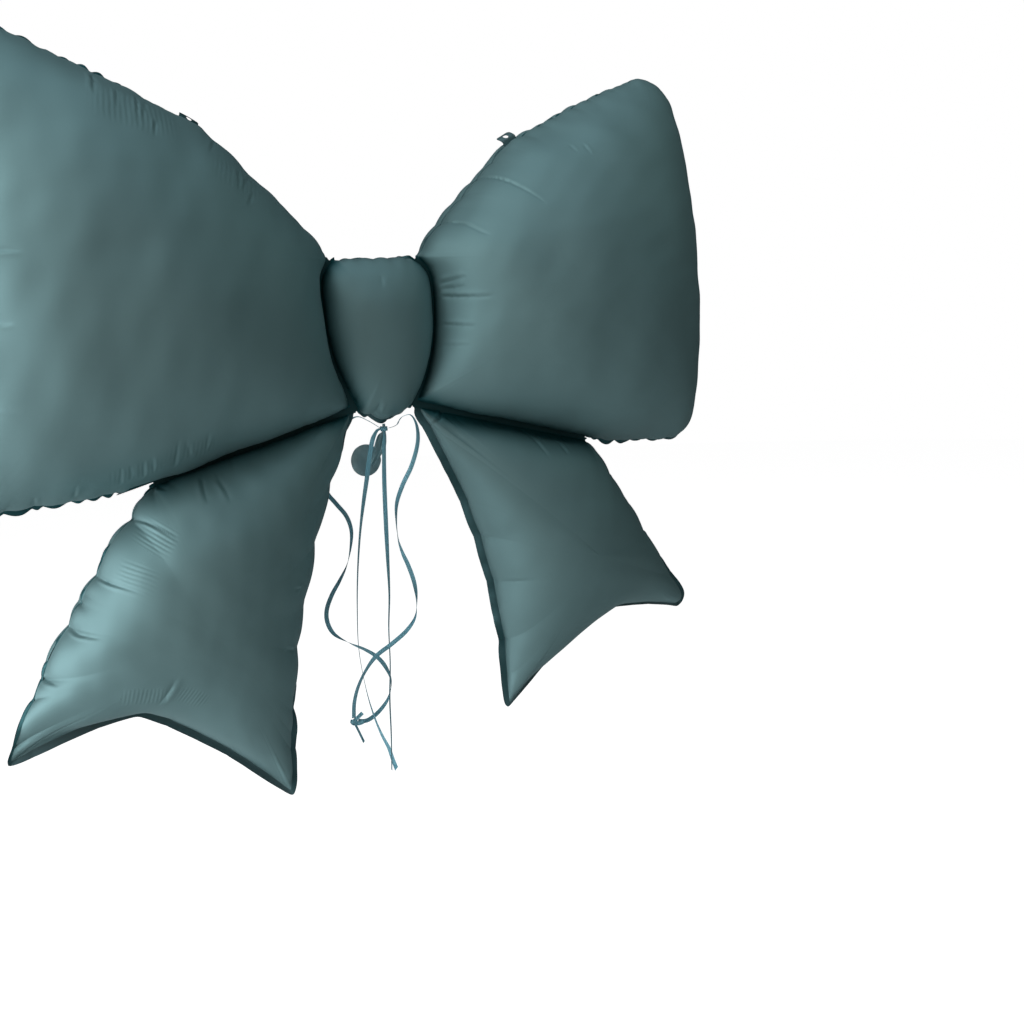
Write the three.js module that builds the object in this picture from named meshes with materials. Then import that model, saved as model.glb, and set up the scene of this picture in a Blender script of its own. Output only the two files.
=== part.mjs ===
// A bow-shaped foil balloon: two loops, a knot and two swallow-tailed tails, each a gas-filled chamber
// of two film sheets welded round the edge, with hang tabs, a filling neck and curling ribbons.
// Millimetres. X runs along the bow, Y from front to back, Z up; the origin is inside the knot.
import * as THREE from "three";

// Film sheets
const WALL = 10;
const SEAM_GAP = 0.3;
const SEAM_FILM = 1.2;
const SEAM_MARGIN = 6;
const WELD_RIM = 4;
const HINGE_GAP = 0.8;
const BULGE = 0.6;
const RAY_PAIRS = 14;
const TIP_REACH = 1.25;
const NEAR_STRAIGHT = 0.2;
const PARALLEL = 1e-6;
const SEAM_FACE = SEAM_GAP / 2 + SEAM_FILM;
// Rings of each dome: outside and inside of the loops and tails, and outside of the knot
const OUTER_RINGS = 6;
const INNER_RINGS = 3;
const KNOT_RINGS = 5;

// The weld between knot and loop, from its top down: x, z, bow outwards, steps
const CREASE = [
  [51, 76, 2, 3],
  [66, 57, 1, 2],
  [66.5, 20, 1.5, 3],
  [58, -35, 1, 3],
  [36, -84, 0, 0],
];
// The straight weld between loop and tail, which the tail flexes about; the tail's own weld keeps
// clear of its two ends
const HINGE_STEPS = 8;
const TAIL_HINGE_START = 10;
const TAIL_HINGE_SHORT = 11;
const TAIL_HINGE_STEPS = 7;

// The loop's free edge from the knot over its top to the outer end: x, z, bow outwards, steps
const LOOP_TOP = [
  [51, 76, 0, 5],
  [177, 199, 4.5, 9],
  [375, 287, 3, 3],
  [406, 273, 3, 2],
  [420, 240, 7, 9],
];
const KNOT_TOP_STEPS = 4;
const KNOT_TIP = new THREE.Vector2(-3, -98);
const KNOT_TIP_STEPS = 2;
const LOOP_CENTRE = new THREE.Vector2(250, 60);
const TAIL_CENTRE = new THREE.Vector2(235, -285);
const KNOT_CENTRE = new THREE.Vector2(0, 0);

// Each side of the bow: its sign along X, the outer end of the weld between loop and tail, the loop's
// free edge round its lower corner, the bow and steps of the tail's outer edge, and the tail's lower
// and inner edges; the edges' columns are those of LOOP_TOP
const SIDES = [
  {
    name: "left",
    sign: -1,
    hingeEnd: new THREE.Vector2(264.5, -139.5),
    loopLow: [
      [440, -118, 3, 2],
      [432, -139, 2, 2],
      [416, -148, 2, 6],
    ],
    tailOuter: [9, 9],
    tailLow: [
      [423, -391, -5, 5],
      [300, -366, -8, 6],
      [152, -503, -27, 11],
    ],
  },
  {
    name: "right",
    sign: 1,
    hingeEnd: new THREE.Vector2(279, -149.5),
    loopLow: [
      [442, -130, 3, 2],
      [436, -151, 2, 2],
      [421, -161, 2, 6],
    ],
    tailOuter: [-1, 9],
    tailLow: [
      [423, -391, -5, 5],
      [300, -373, -8, 6],
      [139, -474, -30, 11],
    ],
  },
];

// Hang tabs on the loops' upper margins
const TAB_WIDTH = 20;
const TAB_HEIGHT = 10;
const TAB_CORNER = 4;
const TAB_HOLE = 3.1;
const TAB_HOLE_UP = 4.9;
const TAB_X = 186;
const TAB_SEGMENTS = 6;

// Filling neck below the knot, the disc at its end and the tie round it
const NECK_FILM = 1.2;
const NECK_X = -3;
const NECK_OUTLINE = [
  [-4.5, -104.8],
  [-1.5, -104.8],
  [-1.5, -112.3],
  [-2.5, -128],
  [-19, -151],
  [-23, -146],
  [-16, -126],
  [-12, -116],
  [-4.5, -112.3],
];
const DISC_CENTRE = new THREE.Vector2(-27, -143);
const DISC_RADIUS = 18;
const DISC_FILM = 1.6;
const DISC_SEGMENTS = 16;
const TIE_INNER = 2.3;
const TIE_OUTER = 5;
const TIE_TOP = -107;
const TIE_HEIGHT = 5;
const TIE_EDGE = 1;
const TIE_SEGMENTS = 16;

// Ribbons: the round that stands for each flat 5 mm ribbon, and the routes, each x, y, z from the tie
const RIBBON_RADIUS = 2;
const RIBBON_SIDES = 8;
const RIBBON_STEP = 12;
const RIBBON_ROUTES = {
  ribbon_straight: [
    [-4.5, -3.8, -112.3], [-8, -8, -127], [-12, -10, -166], [-15, -12, -211], [-17, -13, -257],
    [-19, -14, -298], [-23, -14, -336], [-25, -14, -380], [-29, -14, -420], [-31, -14, -465],
    [-34, -14, -508],
  ],
  ribbon_curled: [
    [-8.4, -2, -109.5], [-12, -3, -110], [-20, -7, -118], [-28, -9, -142], [-32, -8, -162],
    [-37, -6, -186], [-43, -3, -220], [-49, 0, -266], [-53, 2, -312], [-55, 3, -360],
    [-51, 1, -409], [-45, -3, -444], [-37, -1, -468], [-29, 1, -487], [-25, 2, -502],
    [-21, 2, -516],
  ],
  ribbon_right: [
    [2.4, -1, -109.5], [6, -1.5, -109], [9, -9, -106], [8, -18, -101], [8, -28, -96],
    [14, -36, -94], [18, -40, -103], [19, -40, -122], [11, -36, -150], [0, -32, -171],
    [-7, -28, -191], [-8, -25, -211], [-6, -22, -234], [-1, -20, -251], [5, -19, -266],
    [11, -19, -288], [12, -20, -309], [8, -21, -328], [-4, -22, -341], [-24, -22, -353],
    [-44, -20, -364], [-57, -14, -382], [-65, -9, -400], [-69, -4, -419], [-70, -1, -437.5],
  ],
  ribbon_left: [
    [-3, 5.4, -109.5], [-3.5, 9, -109], [-12, 21, -101], [-20, 32, -96], [-26, 44, -101],
    [-36, 50, -118], [-50, 50, -144], [-60, 46, -166], [-62, 41, -179], [-54, 36, -193],
    [-45, 31, -208], [-42, 27, -224], [-46, 23, -243], [-54, 20, -263], [-65, 17, -278],
    [-77, 15, -293], [-85, 14, -309], [-86, 13, -322], [-80, 13, -337], [-61, 14, -353],
    [-43, 14, -365], [-29, 14, -377], [-19, 14, -392], [-14, 13, -411], [-20, 12, -430],
    [-32, 10, -441], [-46, 7, -447], [-56, 2, -446], [-64.5, 0, -443],
  ],
};
const RIBBON_KNOT = { at: [-70, 0, -443], radii: [5.2, 4, 5.2], segments: 12, rings: 8 };

const material = (color, roughness, metalness) =>
  new THREE.MeshStandardMaterial({ color, roughness, metalness });
const FOIL = material(0x5a7a80, 0.42, 0.15);
const SEAM = material(0x3a5258, 0.4, 0.15);
const RIBBON = material(0x3c7c96, 0.35, 0.0);

// The points of a run of bowed edges, each row x, z, bow, steps; the last row ends it
function bowedLine(rows) {
  const points = [];
  rows.slice(0, -1).forEach(([x, z, bow, steps], i) => {
    const start = new THREE.Vector2(x, z);
    const along = new THREE.Vector2(rows[i + 1][0], rows[i + 1][1]).sub(start);
    const outward = new THREE.Vector2(-along.y, along.x).normalize();
    for (let k = 0; k < steps; k++) {
      const t = k / steps;
      const point = start.clone().addScaledVector(along, t);
      points.push(point.addScaledVector(outward, 4 * bow * t * (1 - t)));
    }
  });
  const [endX, endZ] = rows[rows.length - 1];
  points.push(new THREE.Vector2(endX, endZ));
  return points;
}

// A closed outline from runs of points, each run free or a weld; marks[i] belongs to the edge that
// leaves point i
function joinRuns(runs) {
  const points = [];
  const marks = [];
  for (const { line, weld } of runs)
    for (const point of line.slice(0, -1)) {
      points.push(point.clone());
      marks.push(weld);
    }
  return { points, marks };
}

// The outline moved outwards by one width along free edges and by another along welds
function moved({ points, marks }, free, weld) {
  const count = points.length;
  const width = (i) => (marks[i] ? weld : free);
  const normal = (i) => {
    const along = points[(i + 1) % count].clone().sub(points[i]);
    return new THREE.Vector2(-along.y, along.x).normalize();
  };
  return points.map((point, i) => {
    const before = (i + count - 1) % count;
    const a = normal(before);
    const b = normal(i);
    const turn = a.cross(b);
    if (Math.abs(turn) < NEAR_STRAIGHT && width(before) !== width(i)) {
      const held = Math.min(width(before), width(i));
      return point.clone().addScaledVector(b, held);
    }
    if (Math.abs(turn) < PARALLEL) return point.clone().addScaledVector(b, width(i));
    const shift = new THREE.Vector2(
      (width(before) * b.y - width(i) * a.y) / turn,
      (width(i) * a.x - width(before) * b.x) / turn,
    );
    const reach = TIP_REACH * Math.max(Math.abs(width(before)), Math.abs(width(i)));
    const outward = shift.dot(a) > 0 && shift.dot(b) > 0;
    return point.clone().add(outward ? shift.clampLength(0, reach) : shift);
  });
}

// How far a point sees the outline along a ray, ahead and behind
function reach(point, ray, outline) {
  let ahead = Infinity;
  let behind = Infinity;
  outline.forEach((start, i) => {
    const edge = outline[(i + 1) % outline.length].clone().sub(start);
    const across = ray.cross(edge);
    if (Math.abs(across) < PARALLEL) return;
    const to = start.clone().sub(point);
    const share = to.cross(ray) / across;
    if (share < 0 || share > 1) return;
    const distance = to.cross(edge) / across;
    if (distance > 0) ahead = Math.min(ahead, distance);
    else behind = Math.min(behind, -distance);
  });
  return [ahead, behind];
}

// Half depth of a chamber at a point of its flat outline, from the harmonic mean of the products of
// opposite rays: it makes a strip an elliptic tube and a disc an ellipsoid
function halfDepth(point, outline) {
  let sum = 0;
  for (let k = 0; k < RAY_PAIRS; k++) {
    const angle = ((k + 0.5) * Math.PI) / RAY_PAIRS;
    const ray = new THREE.Vector2(Math.cos(angle), Math.sin(angle));
    const [ahead, behind] = reach(point, ray, outline);
    sum += 1 / (ahead * behind);
  }
  return BULGE * Math.sqrt(RAY_PAIRS / sum);
}

// The outline drawn towards the centre so that its wall is nowhere thinner than the given width
function inset(outline, centre, width) {
  const count = outline.length;
  const room = (i) => {
    const start = outline[i];
    const along = outline[(i + 1) % count].clone().sub(start).normalize();
    return Math.abs(along.cross(centre.clone().sub(start)));
  };
  return outline.map((point, i) => {
    const nearest = Math.min(room(i), room((i + count - 1) % count));
    return centre.clone().lerp(point, 1 - width / nearest);
  });
}

// Rings of a domed surface over an outline, from the first ring outside the centre to the rim
function dome(outline, centre, rings, depthScale) {
  const made = [];
  for (let j = 1; j <= rings; j++) {
    const t = Math.sin((Math.PI / 2) * (j / rings));
    made.push(
      outline.map((rim) => {
        const point = centre.clone().lerp(rim, t);
        const depth = j === rings ? 0 : halfDepth(point, outline) * depthScale;
        return [point.x, depth, point.y];
      }),
    );
  }
  return made;
}

// A closed body from loops of equal length between two end points; sideSign mirrors it along X and
// faceSign puts it in front of the seam plane or behind it
function closedBody(first, loops, last, sideSign, faceSign) {
  const vertices = [first, ...loops.flat(), last];
  const count = loops[0].length;
  const at = (loop, i) => 1 + loop * count + (i % count);
  const triangles = [];
  for (let i = 0; i < count; i++) {
    triangles.push([0, at(0, i), at(0, i + 1)]);
    for (let loop = 0; loop < loops.length - 1; loop++) {
      triangles.push([at(loop, i), at(loop + 1, i), at(loop + 1, i + 1)]);
      triangles.push([at(loop, i), at(loop + 1, i + 1), at(loop, i + 1)]);
    }
    triangles.push([vertices.length - 1, at(loops.length - 1, i + 1), at(loops.length - 1, i)]);
  }
  const placed = vertices.map(([x, y, z]) => new THREE.Vector3(sideSign * x, faceSign * y, z));
  const volume = triangles.reduce(
    (sum, [a, b, c]) => sum + placed[a].dot(placed[b].clone().cross(placed[c])),
    0,
  );
  const facing = volume < 0 ? triangles.map(([a, b, c]) => [a, c, b]) : triangles;
  const geometry = new THREE.BufferGeometry();
  geometry.setAttribute(
    "position",
    new THREE.Float32BufferAttribute(placed.flatMap((v) => v.toArray()), 3),
  );
  geometry.setIndex(facing.flat());
  geometry.computeVertexNormals();
  return geometry;
}

// One film sheet: a hollow dome whose rim runs out into the flat welded margin
function sheet(cell, centre, sideSign, faceSign, outerRings) {
  const rim = moved(cell, 0, -WELD_RIM);
  const margin = moved(cell, SEAM_MARGIN, -HINGE_GAP / 2);
  const mouth = inset(rim, centre, WALL);
  const crown = halfDepth(centre, rim);
  const hollowScale = (crown - WALL) / halfDepth(centre, mouth);
  const level = (y) => ([x, depth, z]) => [x, depth + y, z];
  const flat = (outline, y) => outline.map((p) => [p.x, y, p.y]);
  const outside = dome(rim, centre, outerRings, 1).map((ring) => ring.map(level(SEAM_FACE)));
  const inside = dome(mouth, centre, INNER_RINGS, hollowScale).map((ring) =>
    ring.map(level(SEAM_GAP / 2)),
  );
  const loops = [
    ...outside,
    flat(margin, SEAM_FACE),
    flat(margin, SEAM_GAP / 2),
    ...inside.reverse(),
  ];
  const first = [centre.x, crown + SEAM_FACE, centre.y];
  const last = [centre.x, crown - WALL + SEAM_GAP / 2, centre.y];
  return closedBody(first, loops, last, sideSign, faceSign);
}

// A flat outline extruded along Y, centred on the given y
function plate(shape, thickness, y, curveSegments) {
  const geometry = new THREE.ExtrudeGeometry(shape, {
    depth: thickness,
    bevelEnabled: false,
    curveSegments,
  });
  geometry.rotateX(Math.PI / 2);
  geometry.translate(0, y + thickness / 2, 0);
  return geometry;
}

function tabGeometry() {
  const half = TAB_WIDTH / 2;
  const shape = new THREE.Shape();
  shape.moveTo(-half, 0);
  shape.lineTo(half, 0);
  shape.lineTo(half, TAB_HEIGHT - TAB_CORNER);
  shape.quadraticCurveTo(half, TAB_HEIGHT, half - TAB_CORNER, TAB_HEIGHT);
  shape.lineTo(TAB_CORNER - half, TAB_HEIGHT);
  shape.quadraticCurveTo(-half, TAB_HEIGHT, -half, TAB_HEIGHT - TAB_CORNER);
  const hole = new THREE.Path();
  hole.absarc(0, TAB_HOLE_UP, TAB_HOLE, 0, 2 * Math.PI, true);
  shape.holes.push(hole);
  return plate(shape, 2 * SEAM_FACE, 0, TAB_SEGMENTS);
}

// A tab on the straight stretch of the loop's upper margin, clear of it by the usual gap
function placeTab(mesh, cell, sign) {
  const margin = moved(cell, SEAM_MARGIN, -HINGE_GAP / 2);
  const index = margin.findIndex((p, i) => p.x < TAB_X && margin[i + 1].x >= TAB_X && p.y > 0);
  const [start, end] = [margin[index], margin[index + 1]];
  const along = end.clone().sub(start).normalize();
  const base = start.clone().lerp(end, 0.5);
  base.addScaledVector(new THREE.Vector2(-along.y, along.x), SEAM_GAP);
  mesh.position.set(sign * base.x, 0, base.y);
  mesh.rotation.y = -sign * along.angle();
}

function neckGeometry() {
  const shape = new THREE.Shape(NECK_OUTLINE.map(([x, z]) => new THREE.Vector2(x, z)));
  return plate(shape, 2 * NECK_FILM, 0, 1);
}

function discGeometry() {
  const shape = new THREE.Shape();
  shape.absarc(DISC_CENTRE.x, DISC_CENTRE.y, DISC_RADIUS, 0, 2 * Math.PI, false);
  const y = NECK_FILM + SEAM_GAP + DISC_FILM / 2;
  return plate(shape, DISC_FILM, y, DISC_SEGMENTS);
}

function tieGeometry() {
  const profile = [
    [TIE_INNER, 0],
    [TIE_OUTER - TIE_EDGE, 0],
    [TIE_OUTER, TIE_EDGE],
    [TIE_OUTER, TIE_HEIGHT - TIE_EDGE],
    [TIE_OUTER - TIE_EDGE, TIE_HEIGHT],
    [TIE_INNER, TIE_HEIGHT],
    [TIE_INNER, 0],
  ];
  const geometry = new THREE.LatheGeometry(
    profile.map(([r, h]) => new THREE.Vector2(r, h)),
    TIE_SEGMENTS,
  );
  geometry.rotateX(Math.PI / 2);
  return geometry;
}

function ribbonGeometry(route) {
  const path = new THREE.CatmullRomCurve3(route.map((p) => new THREE.Vector3(...p)));
  const section = new THREE.Shape();
  for (let i = 0; i < RIBBON_SIDES; i++) {
    const angle = (2 * Math.PI * i) / RIBBON_SIDES;
    const corner = [RIBBON_RADIUS * Math.cos(angle), RIBBON_RADIUS * Math.sin(angle)];
    if (i) section.lineTo(...corner);
    else section.moveTo(...corner);
  }
  return new THREE.ExtrudeGeometry(section, {
    extrudePath: path,
    steps: Math.round(path.getLength() / RIBBON_STEP),
    bevelEnabled: false,
  });
}

function ribbonKnotGeometry() {
  const { radii, segments, rings } = RIBBON_KNOT;
  return new THREE.SphereGeometry(1, segments, rings).scale(...radii);
}

// The outline cells: weld centre lines where chambers meet, rims elsewhere
const crease = bowedLine(CREASE);
const creaseTop = crease[0];
const hingeTop = crease[crease.length - 1];
const mirrored = (point) => new THREE.Vector2(-point.x, point.y);
const straight = (a, b, steps) => bowedLine([[a.x, a.y, 0, steps], [b.x, b.y, 0, 0]]);

const knotCell = joinRuns([
  { line: straight(mirrored(creaseTop), creaseTop, KNOT_TOP_STEPS), weld: false },
  { line: crease, weld: true },
  { line: straight(hingeTop, KNOT_TIP, KNOT_TIP_STEPS), weld: false },
  { line: straight(KNOT_TIP, mirrored(hingeTop), KNOT_TIP_STEPS), weld: false },
  { line: crease.map(mirrored).reverse(), weld: true },
]);

function loopCell({ hingeEnd, loopLow }) {
  const edge = [...LOOP_TOP, ...loopLow, [hingeEnd.x, hingeEnd.y, 0, 0]];
  return joinRuns([
    { line: bowedLine(edge), weld: false },
    { line: straight(hingeEnd, hingeTop, HINGE_STEPS), weld: true },
    { line: [...crease].reverse(), weld: true },
  ]);
}

function tailCell({ hingeEnd, tailOuter, tailLow }) {
  const hinge = hingeEnd.clone().sub(hingeTop);
  const at = (distance) => hingeTop.clone().addScaledVector(hinge, distance / hinge.length());
  const start = at(TAIL_HINGE_START);
  const stop = at(hinge.length() - TAIL_HINGE_SHORT);
  const edge = [[stop.x, stop.y, ...tailOuter], ...tailLow, [start.x, start.y, 0, 0]];
  return joinRuns([
    { line: straight(start, stop, TAIL_HINGE_STEPS), weld: true },
    { line: bowedLine(edge), weld: false },
  ]);
}

function named(name, geometry, finish) {
  const mesh = new THREE.Mesh(geometry, finish);
  mesh.name = name;
  return mesh;
}

const FACES = [
  { name: "front", sign: -1 },
  { name: "back", sign: 1 },
];

const balloon = new THREE.Group();

const knotGroup = new THREE.Group();
for (const face of FACES)
  knotGroup.add(
    named("knot_" + face.name, sheet(knotCell, KNOT_CENTRE, 1, face.sign, KNOT_RINGS), FOIL),
  );
balloon.add(knotGroup);

for (const side of SIDES) {
  const loopGroup = new THREE.Group();
  const tailGroup = new THREE.Group();
  const loop = loopCell(side);
  const tail = tailCell(side);
  for (const face of FACES) {
    const loopSheet = sheet(loop, LOOP_CENTRE, side.sign, face.sign, OUTER_RINGS);
    const tailSheet = sheet(tail, TAIL_CENTRE, side.sign, face.sign, OUTER_RINGS);
    loopGroup.add(named(side.name + "_loop_" + face.name, loopSheet, FOIL));
    tailGroup.add(named(side.name + "_tail_" + face.name, tailSheet, FOIL));
  }
  const tab = named(side.name + "_hang_tab", tabGeometry(), SEAM);
  placeTab(tab, loop, side.sign);
  loopGroup.add(tab);
  loopGroup.add(tailGroup);
  balloon.add(loopGroup);
}

const neckGroup = new THREE.Group();
neckGroup.add(named("filling_neck", neckGeometry(), SEAM));
neckGroup.add(named("filling_disc", discGeometry(), SEAM));
const tie = named("ribbon_tie", tieGeometry(), RIBBON);
tie.position.set(NECK_X, 0, TIE_TOP - TIE_HEIGHT);
neckGroup.add(tie);
for (const [name, route] of Object.entries(RIBBON_ROUTES))
  neckGroup.add(named(name, ribbonGeometry(route), RIBBON));
const knot = named("ribbon_knot", ribbonKnotGeometry(), RIBBON);
knot.position.set(...RIBBON_KNOT.at);
neckGroup.add(knot);
balloon.add(neckGroup);

export default balloon;
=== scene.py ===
"""A bow foil balloon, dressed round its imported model.

Two loops, a knot and two swallow-tailed tails of satin film, welded together, with hang tabs, a filling
neck and curling ribbons. Everything is in metres: X runs along the bow, Y from front to back, Z up.
"""

from __future__ import annotations

import logging
import math
from collections.abc import Callable, Iterable, Sequence
from dataclasses import dataclass, field, replace
from enum import Enum

import bmesh
import bpy
import numpy as np
from mathutils import Matrix, Vector


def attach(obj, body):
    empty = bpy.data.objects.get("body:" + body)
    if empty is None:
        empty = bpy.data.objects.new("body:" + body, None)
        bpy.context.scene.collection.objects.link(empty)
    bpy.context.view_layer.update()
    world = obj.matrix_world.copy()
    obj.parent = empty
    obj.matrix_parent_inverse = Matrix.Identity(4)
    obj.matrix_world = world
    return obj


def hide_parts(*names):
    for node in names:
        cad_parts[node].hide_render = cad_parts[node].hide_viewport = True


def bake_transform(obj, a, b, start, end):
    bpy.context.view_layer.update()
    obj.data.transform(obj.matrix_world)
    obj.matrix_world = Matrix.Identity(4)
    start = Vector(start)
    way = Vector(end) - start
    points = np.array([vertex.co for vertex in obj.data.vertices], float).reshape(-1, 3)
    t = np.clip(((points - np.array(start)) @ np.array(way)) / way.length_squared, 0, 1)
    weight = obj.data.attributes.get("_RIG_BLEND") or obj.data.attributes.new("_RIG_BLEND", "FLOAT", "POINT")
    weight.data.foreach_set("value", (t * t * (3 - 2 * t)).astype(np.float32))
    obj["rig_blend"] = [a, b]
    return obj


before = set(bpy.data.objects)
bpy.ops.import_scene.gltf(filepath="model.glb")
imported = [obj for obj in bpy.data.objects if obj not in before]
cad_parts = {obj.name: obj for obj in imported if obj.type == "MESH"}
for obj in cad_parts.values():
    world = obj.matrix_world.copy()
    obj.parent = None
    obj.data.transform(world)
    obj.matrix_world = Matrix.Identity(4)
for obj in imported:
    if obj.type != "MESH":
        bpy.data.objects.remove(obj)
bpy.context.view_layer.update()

LOG = logging.getLogger("bow_balloon")

Array = np.ndarray
Point2 = tuple[float, float]
Point3 = tuple[float, float, float]
Colour = tuple[float, float, float, float]


class Side(Enum):
    """The bow's two sides, as the sign of their X."""

    LEFT = -1
    RIGHT = 1


class Face(Enum):
    """The two film sheets of a chamber, as the sign of their Y."""

    FRONT = -1
    BACK = 1


class Gather(Enum):
    """How the film gathers along one edge of a chamber."""

    PLAIN = "plain"
    SOFT = "soft"
    FULL = "full"
    DEEP = "deep"
    SHORT = "short"
    WELD = "weld"
    LAPPED = "lapped weld"
    TUCKED = "tucked weld"
    SLANT = "slanting"
    NARROW = "slanting beside a narrow margin"
    SLIM = "softly gathered beside a narrow margin"


@dataclass(frozen=True)
class GatherStyle:
    """Sizes of the gathers along an edge, in metres.

    Pitch is the distance between pinches, depth and reach are a pinch's own, and sway is how far the seam
    wanders to the front and back. Overhang is how far the film bulges over the seam, scallop the share of
    the pitch that it rounds out between two pinches, and shadow how far the painted shade of a deep weld
    reaches over the film. Margin is the share of the seam's width that is left flat, waves how much
    narrower it is at a pinch, and the margin's shade how much painted shade it is drawn with. Slack is the
    depth up to which the film leaves the seam at a slant.
    """

    pitch: float
    depth: float
    reach: float
    sway: float
    overhang: float
    scallop: float = 0.055
    welded: bool = False
    shadow: float = 0.0
    margin: float = 1.0
    waves: float = 0.0
    margin_shade: float = 0.5
    slack: float = 0.0


SLANTING = GatherStyle(
    0.060, 0.0003, 0.018, 0.0003, overhang=0.0, scallop=0.012, margin=0.85, margin_shade=0.1, slack=0.013
)
GATHERS: dict[Gather, GatherStyle] = {
    Gather.PLAIN: GatherStyle(0.060, 0.0004, 0.020, 0.0004, overhang=0.0012),
    Gather.SLANT: SLANTING,
    Gather.NARROW: replace(SLANTING, margin=0.4),
    Gather.SOFT: GatherStyle(0.030, 0.0009, 0.018, 0.0010, overhang=0.0018, waves=0.2),
    Gather.SLIM: GatherStyle(
        0.030, 0.0009, 0.018, 0.0010, overhang=0.0010, margin=0.42, margin_shade=0.3, slack=0.013
    ),
    Gather.FULL: GatherStyle(
        0.021, 0.0012, 0.018, 0.0016, overhang=0.0024, scallop=0.08, waves=0.5, margin_shade=0.9
    ),
    Gather.DEEP: GatherStyle(
        0.040, 0.0016, 0.026, 0.0020, overhang=0.0014, scallop=0.075, margin=0.38, margin_shade=0.8, slack=0.018
    ),
    Gather.SHORT: GatherStyle(0.018, 0.0010, 0.012, 0.0008, overhang=0.0012, waves=0.2),
    Gather.WELD: GatherStyle(0.015, 0.0010, 0.014, 0.0, overhang=0.0022, welded=True, shadow=0.0110),
    Gather.LAPPED: GatherStyle(0.022, 0.0012, 0.018, 0.0, overhang=0.0030, welded=True, shadow=0.0220),
    Gather.TUCKED: GatherStyle(0.020, 0.0010, 0.018, 0.0, overhang=-0.0040, welded=True, shadow=0.0340),
}


def eased(share: float | Array) -> float | Array:
    """A share from 0 to 1 that starts and ends gently."""
    return share * share * (3 - 2 * share)


@dataclass(frozen=True)
class Fold:
    """How far the seam's margin is folded back along an edge, in degrees.

    It starts at one angle and turns to the other at a share of the edge's length, over a stretch of ease.
    """

    start: float = 0.0
    end: float = 0.0
    turn: float = 0.5
    ease: float = 0.18

    def at(self, share: float) -> float:
        """The angle at a share of the edge."""
        blend = min(1.0, max(0.0, (share - self.turn) / self.ease + 0.5))
        return self.start + (self.end - self.start) * eased(blend)


@dataclass(frozen=True)
class Edge:
    """One bowed edge of an outline, from this point to the next edge's point."""

    x: float
    z: float
    bow: float
    steps: int
    gather: Gather = Gather.PLAIN
    fold: Fold = Fold()


@dataclass(frozen=True)
class SideCut:
    """What differs between the bow's two sides.

    Top_fold is the fold along the loop's gathered upper edge, and hinge_end the outer end of the weld
    between loop and tail. Loop_low is the loop's free edge round its lower corner, tail_outer the tail's
    outer edge from that weld (bow, steps, gather, fold), and tail_low its lower and inner edges. Loop_hinge
    and tail_hinge are the gathers on the two sides of the weld.
    """

    top_fold: Fold
    hinge_end: Point2
    loop_low: tuple[Edge, ...]
    tail_outer: tuple[float, int, Gather, Fold]
    tail_low: tuple[Edge, ...]
    loop_hinge: Gather
    tail_hinge: Gather


# The weld between knot and loop, from its top down
CREASE = (
    Edge(0.051, 0.076, 0.002, 3, Gather.WELD),
    Edge(0.066, 0.057, 0.001, 2, Gather.WELD),
    Edge(0.0665, 0.020, 0.0015, 3, Gather.WELD),
    Edge(0.058, -0.035, 0.001, 3, Gather.WELD),
    Edge(0.036, -0.084, 0.0, 0),
)
HINGE_TOP: Point2 = (CREASE[-1].x, CREASE[-1].z)
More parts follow.
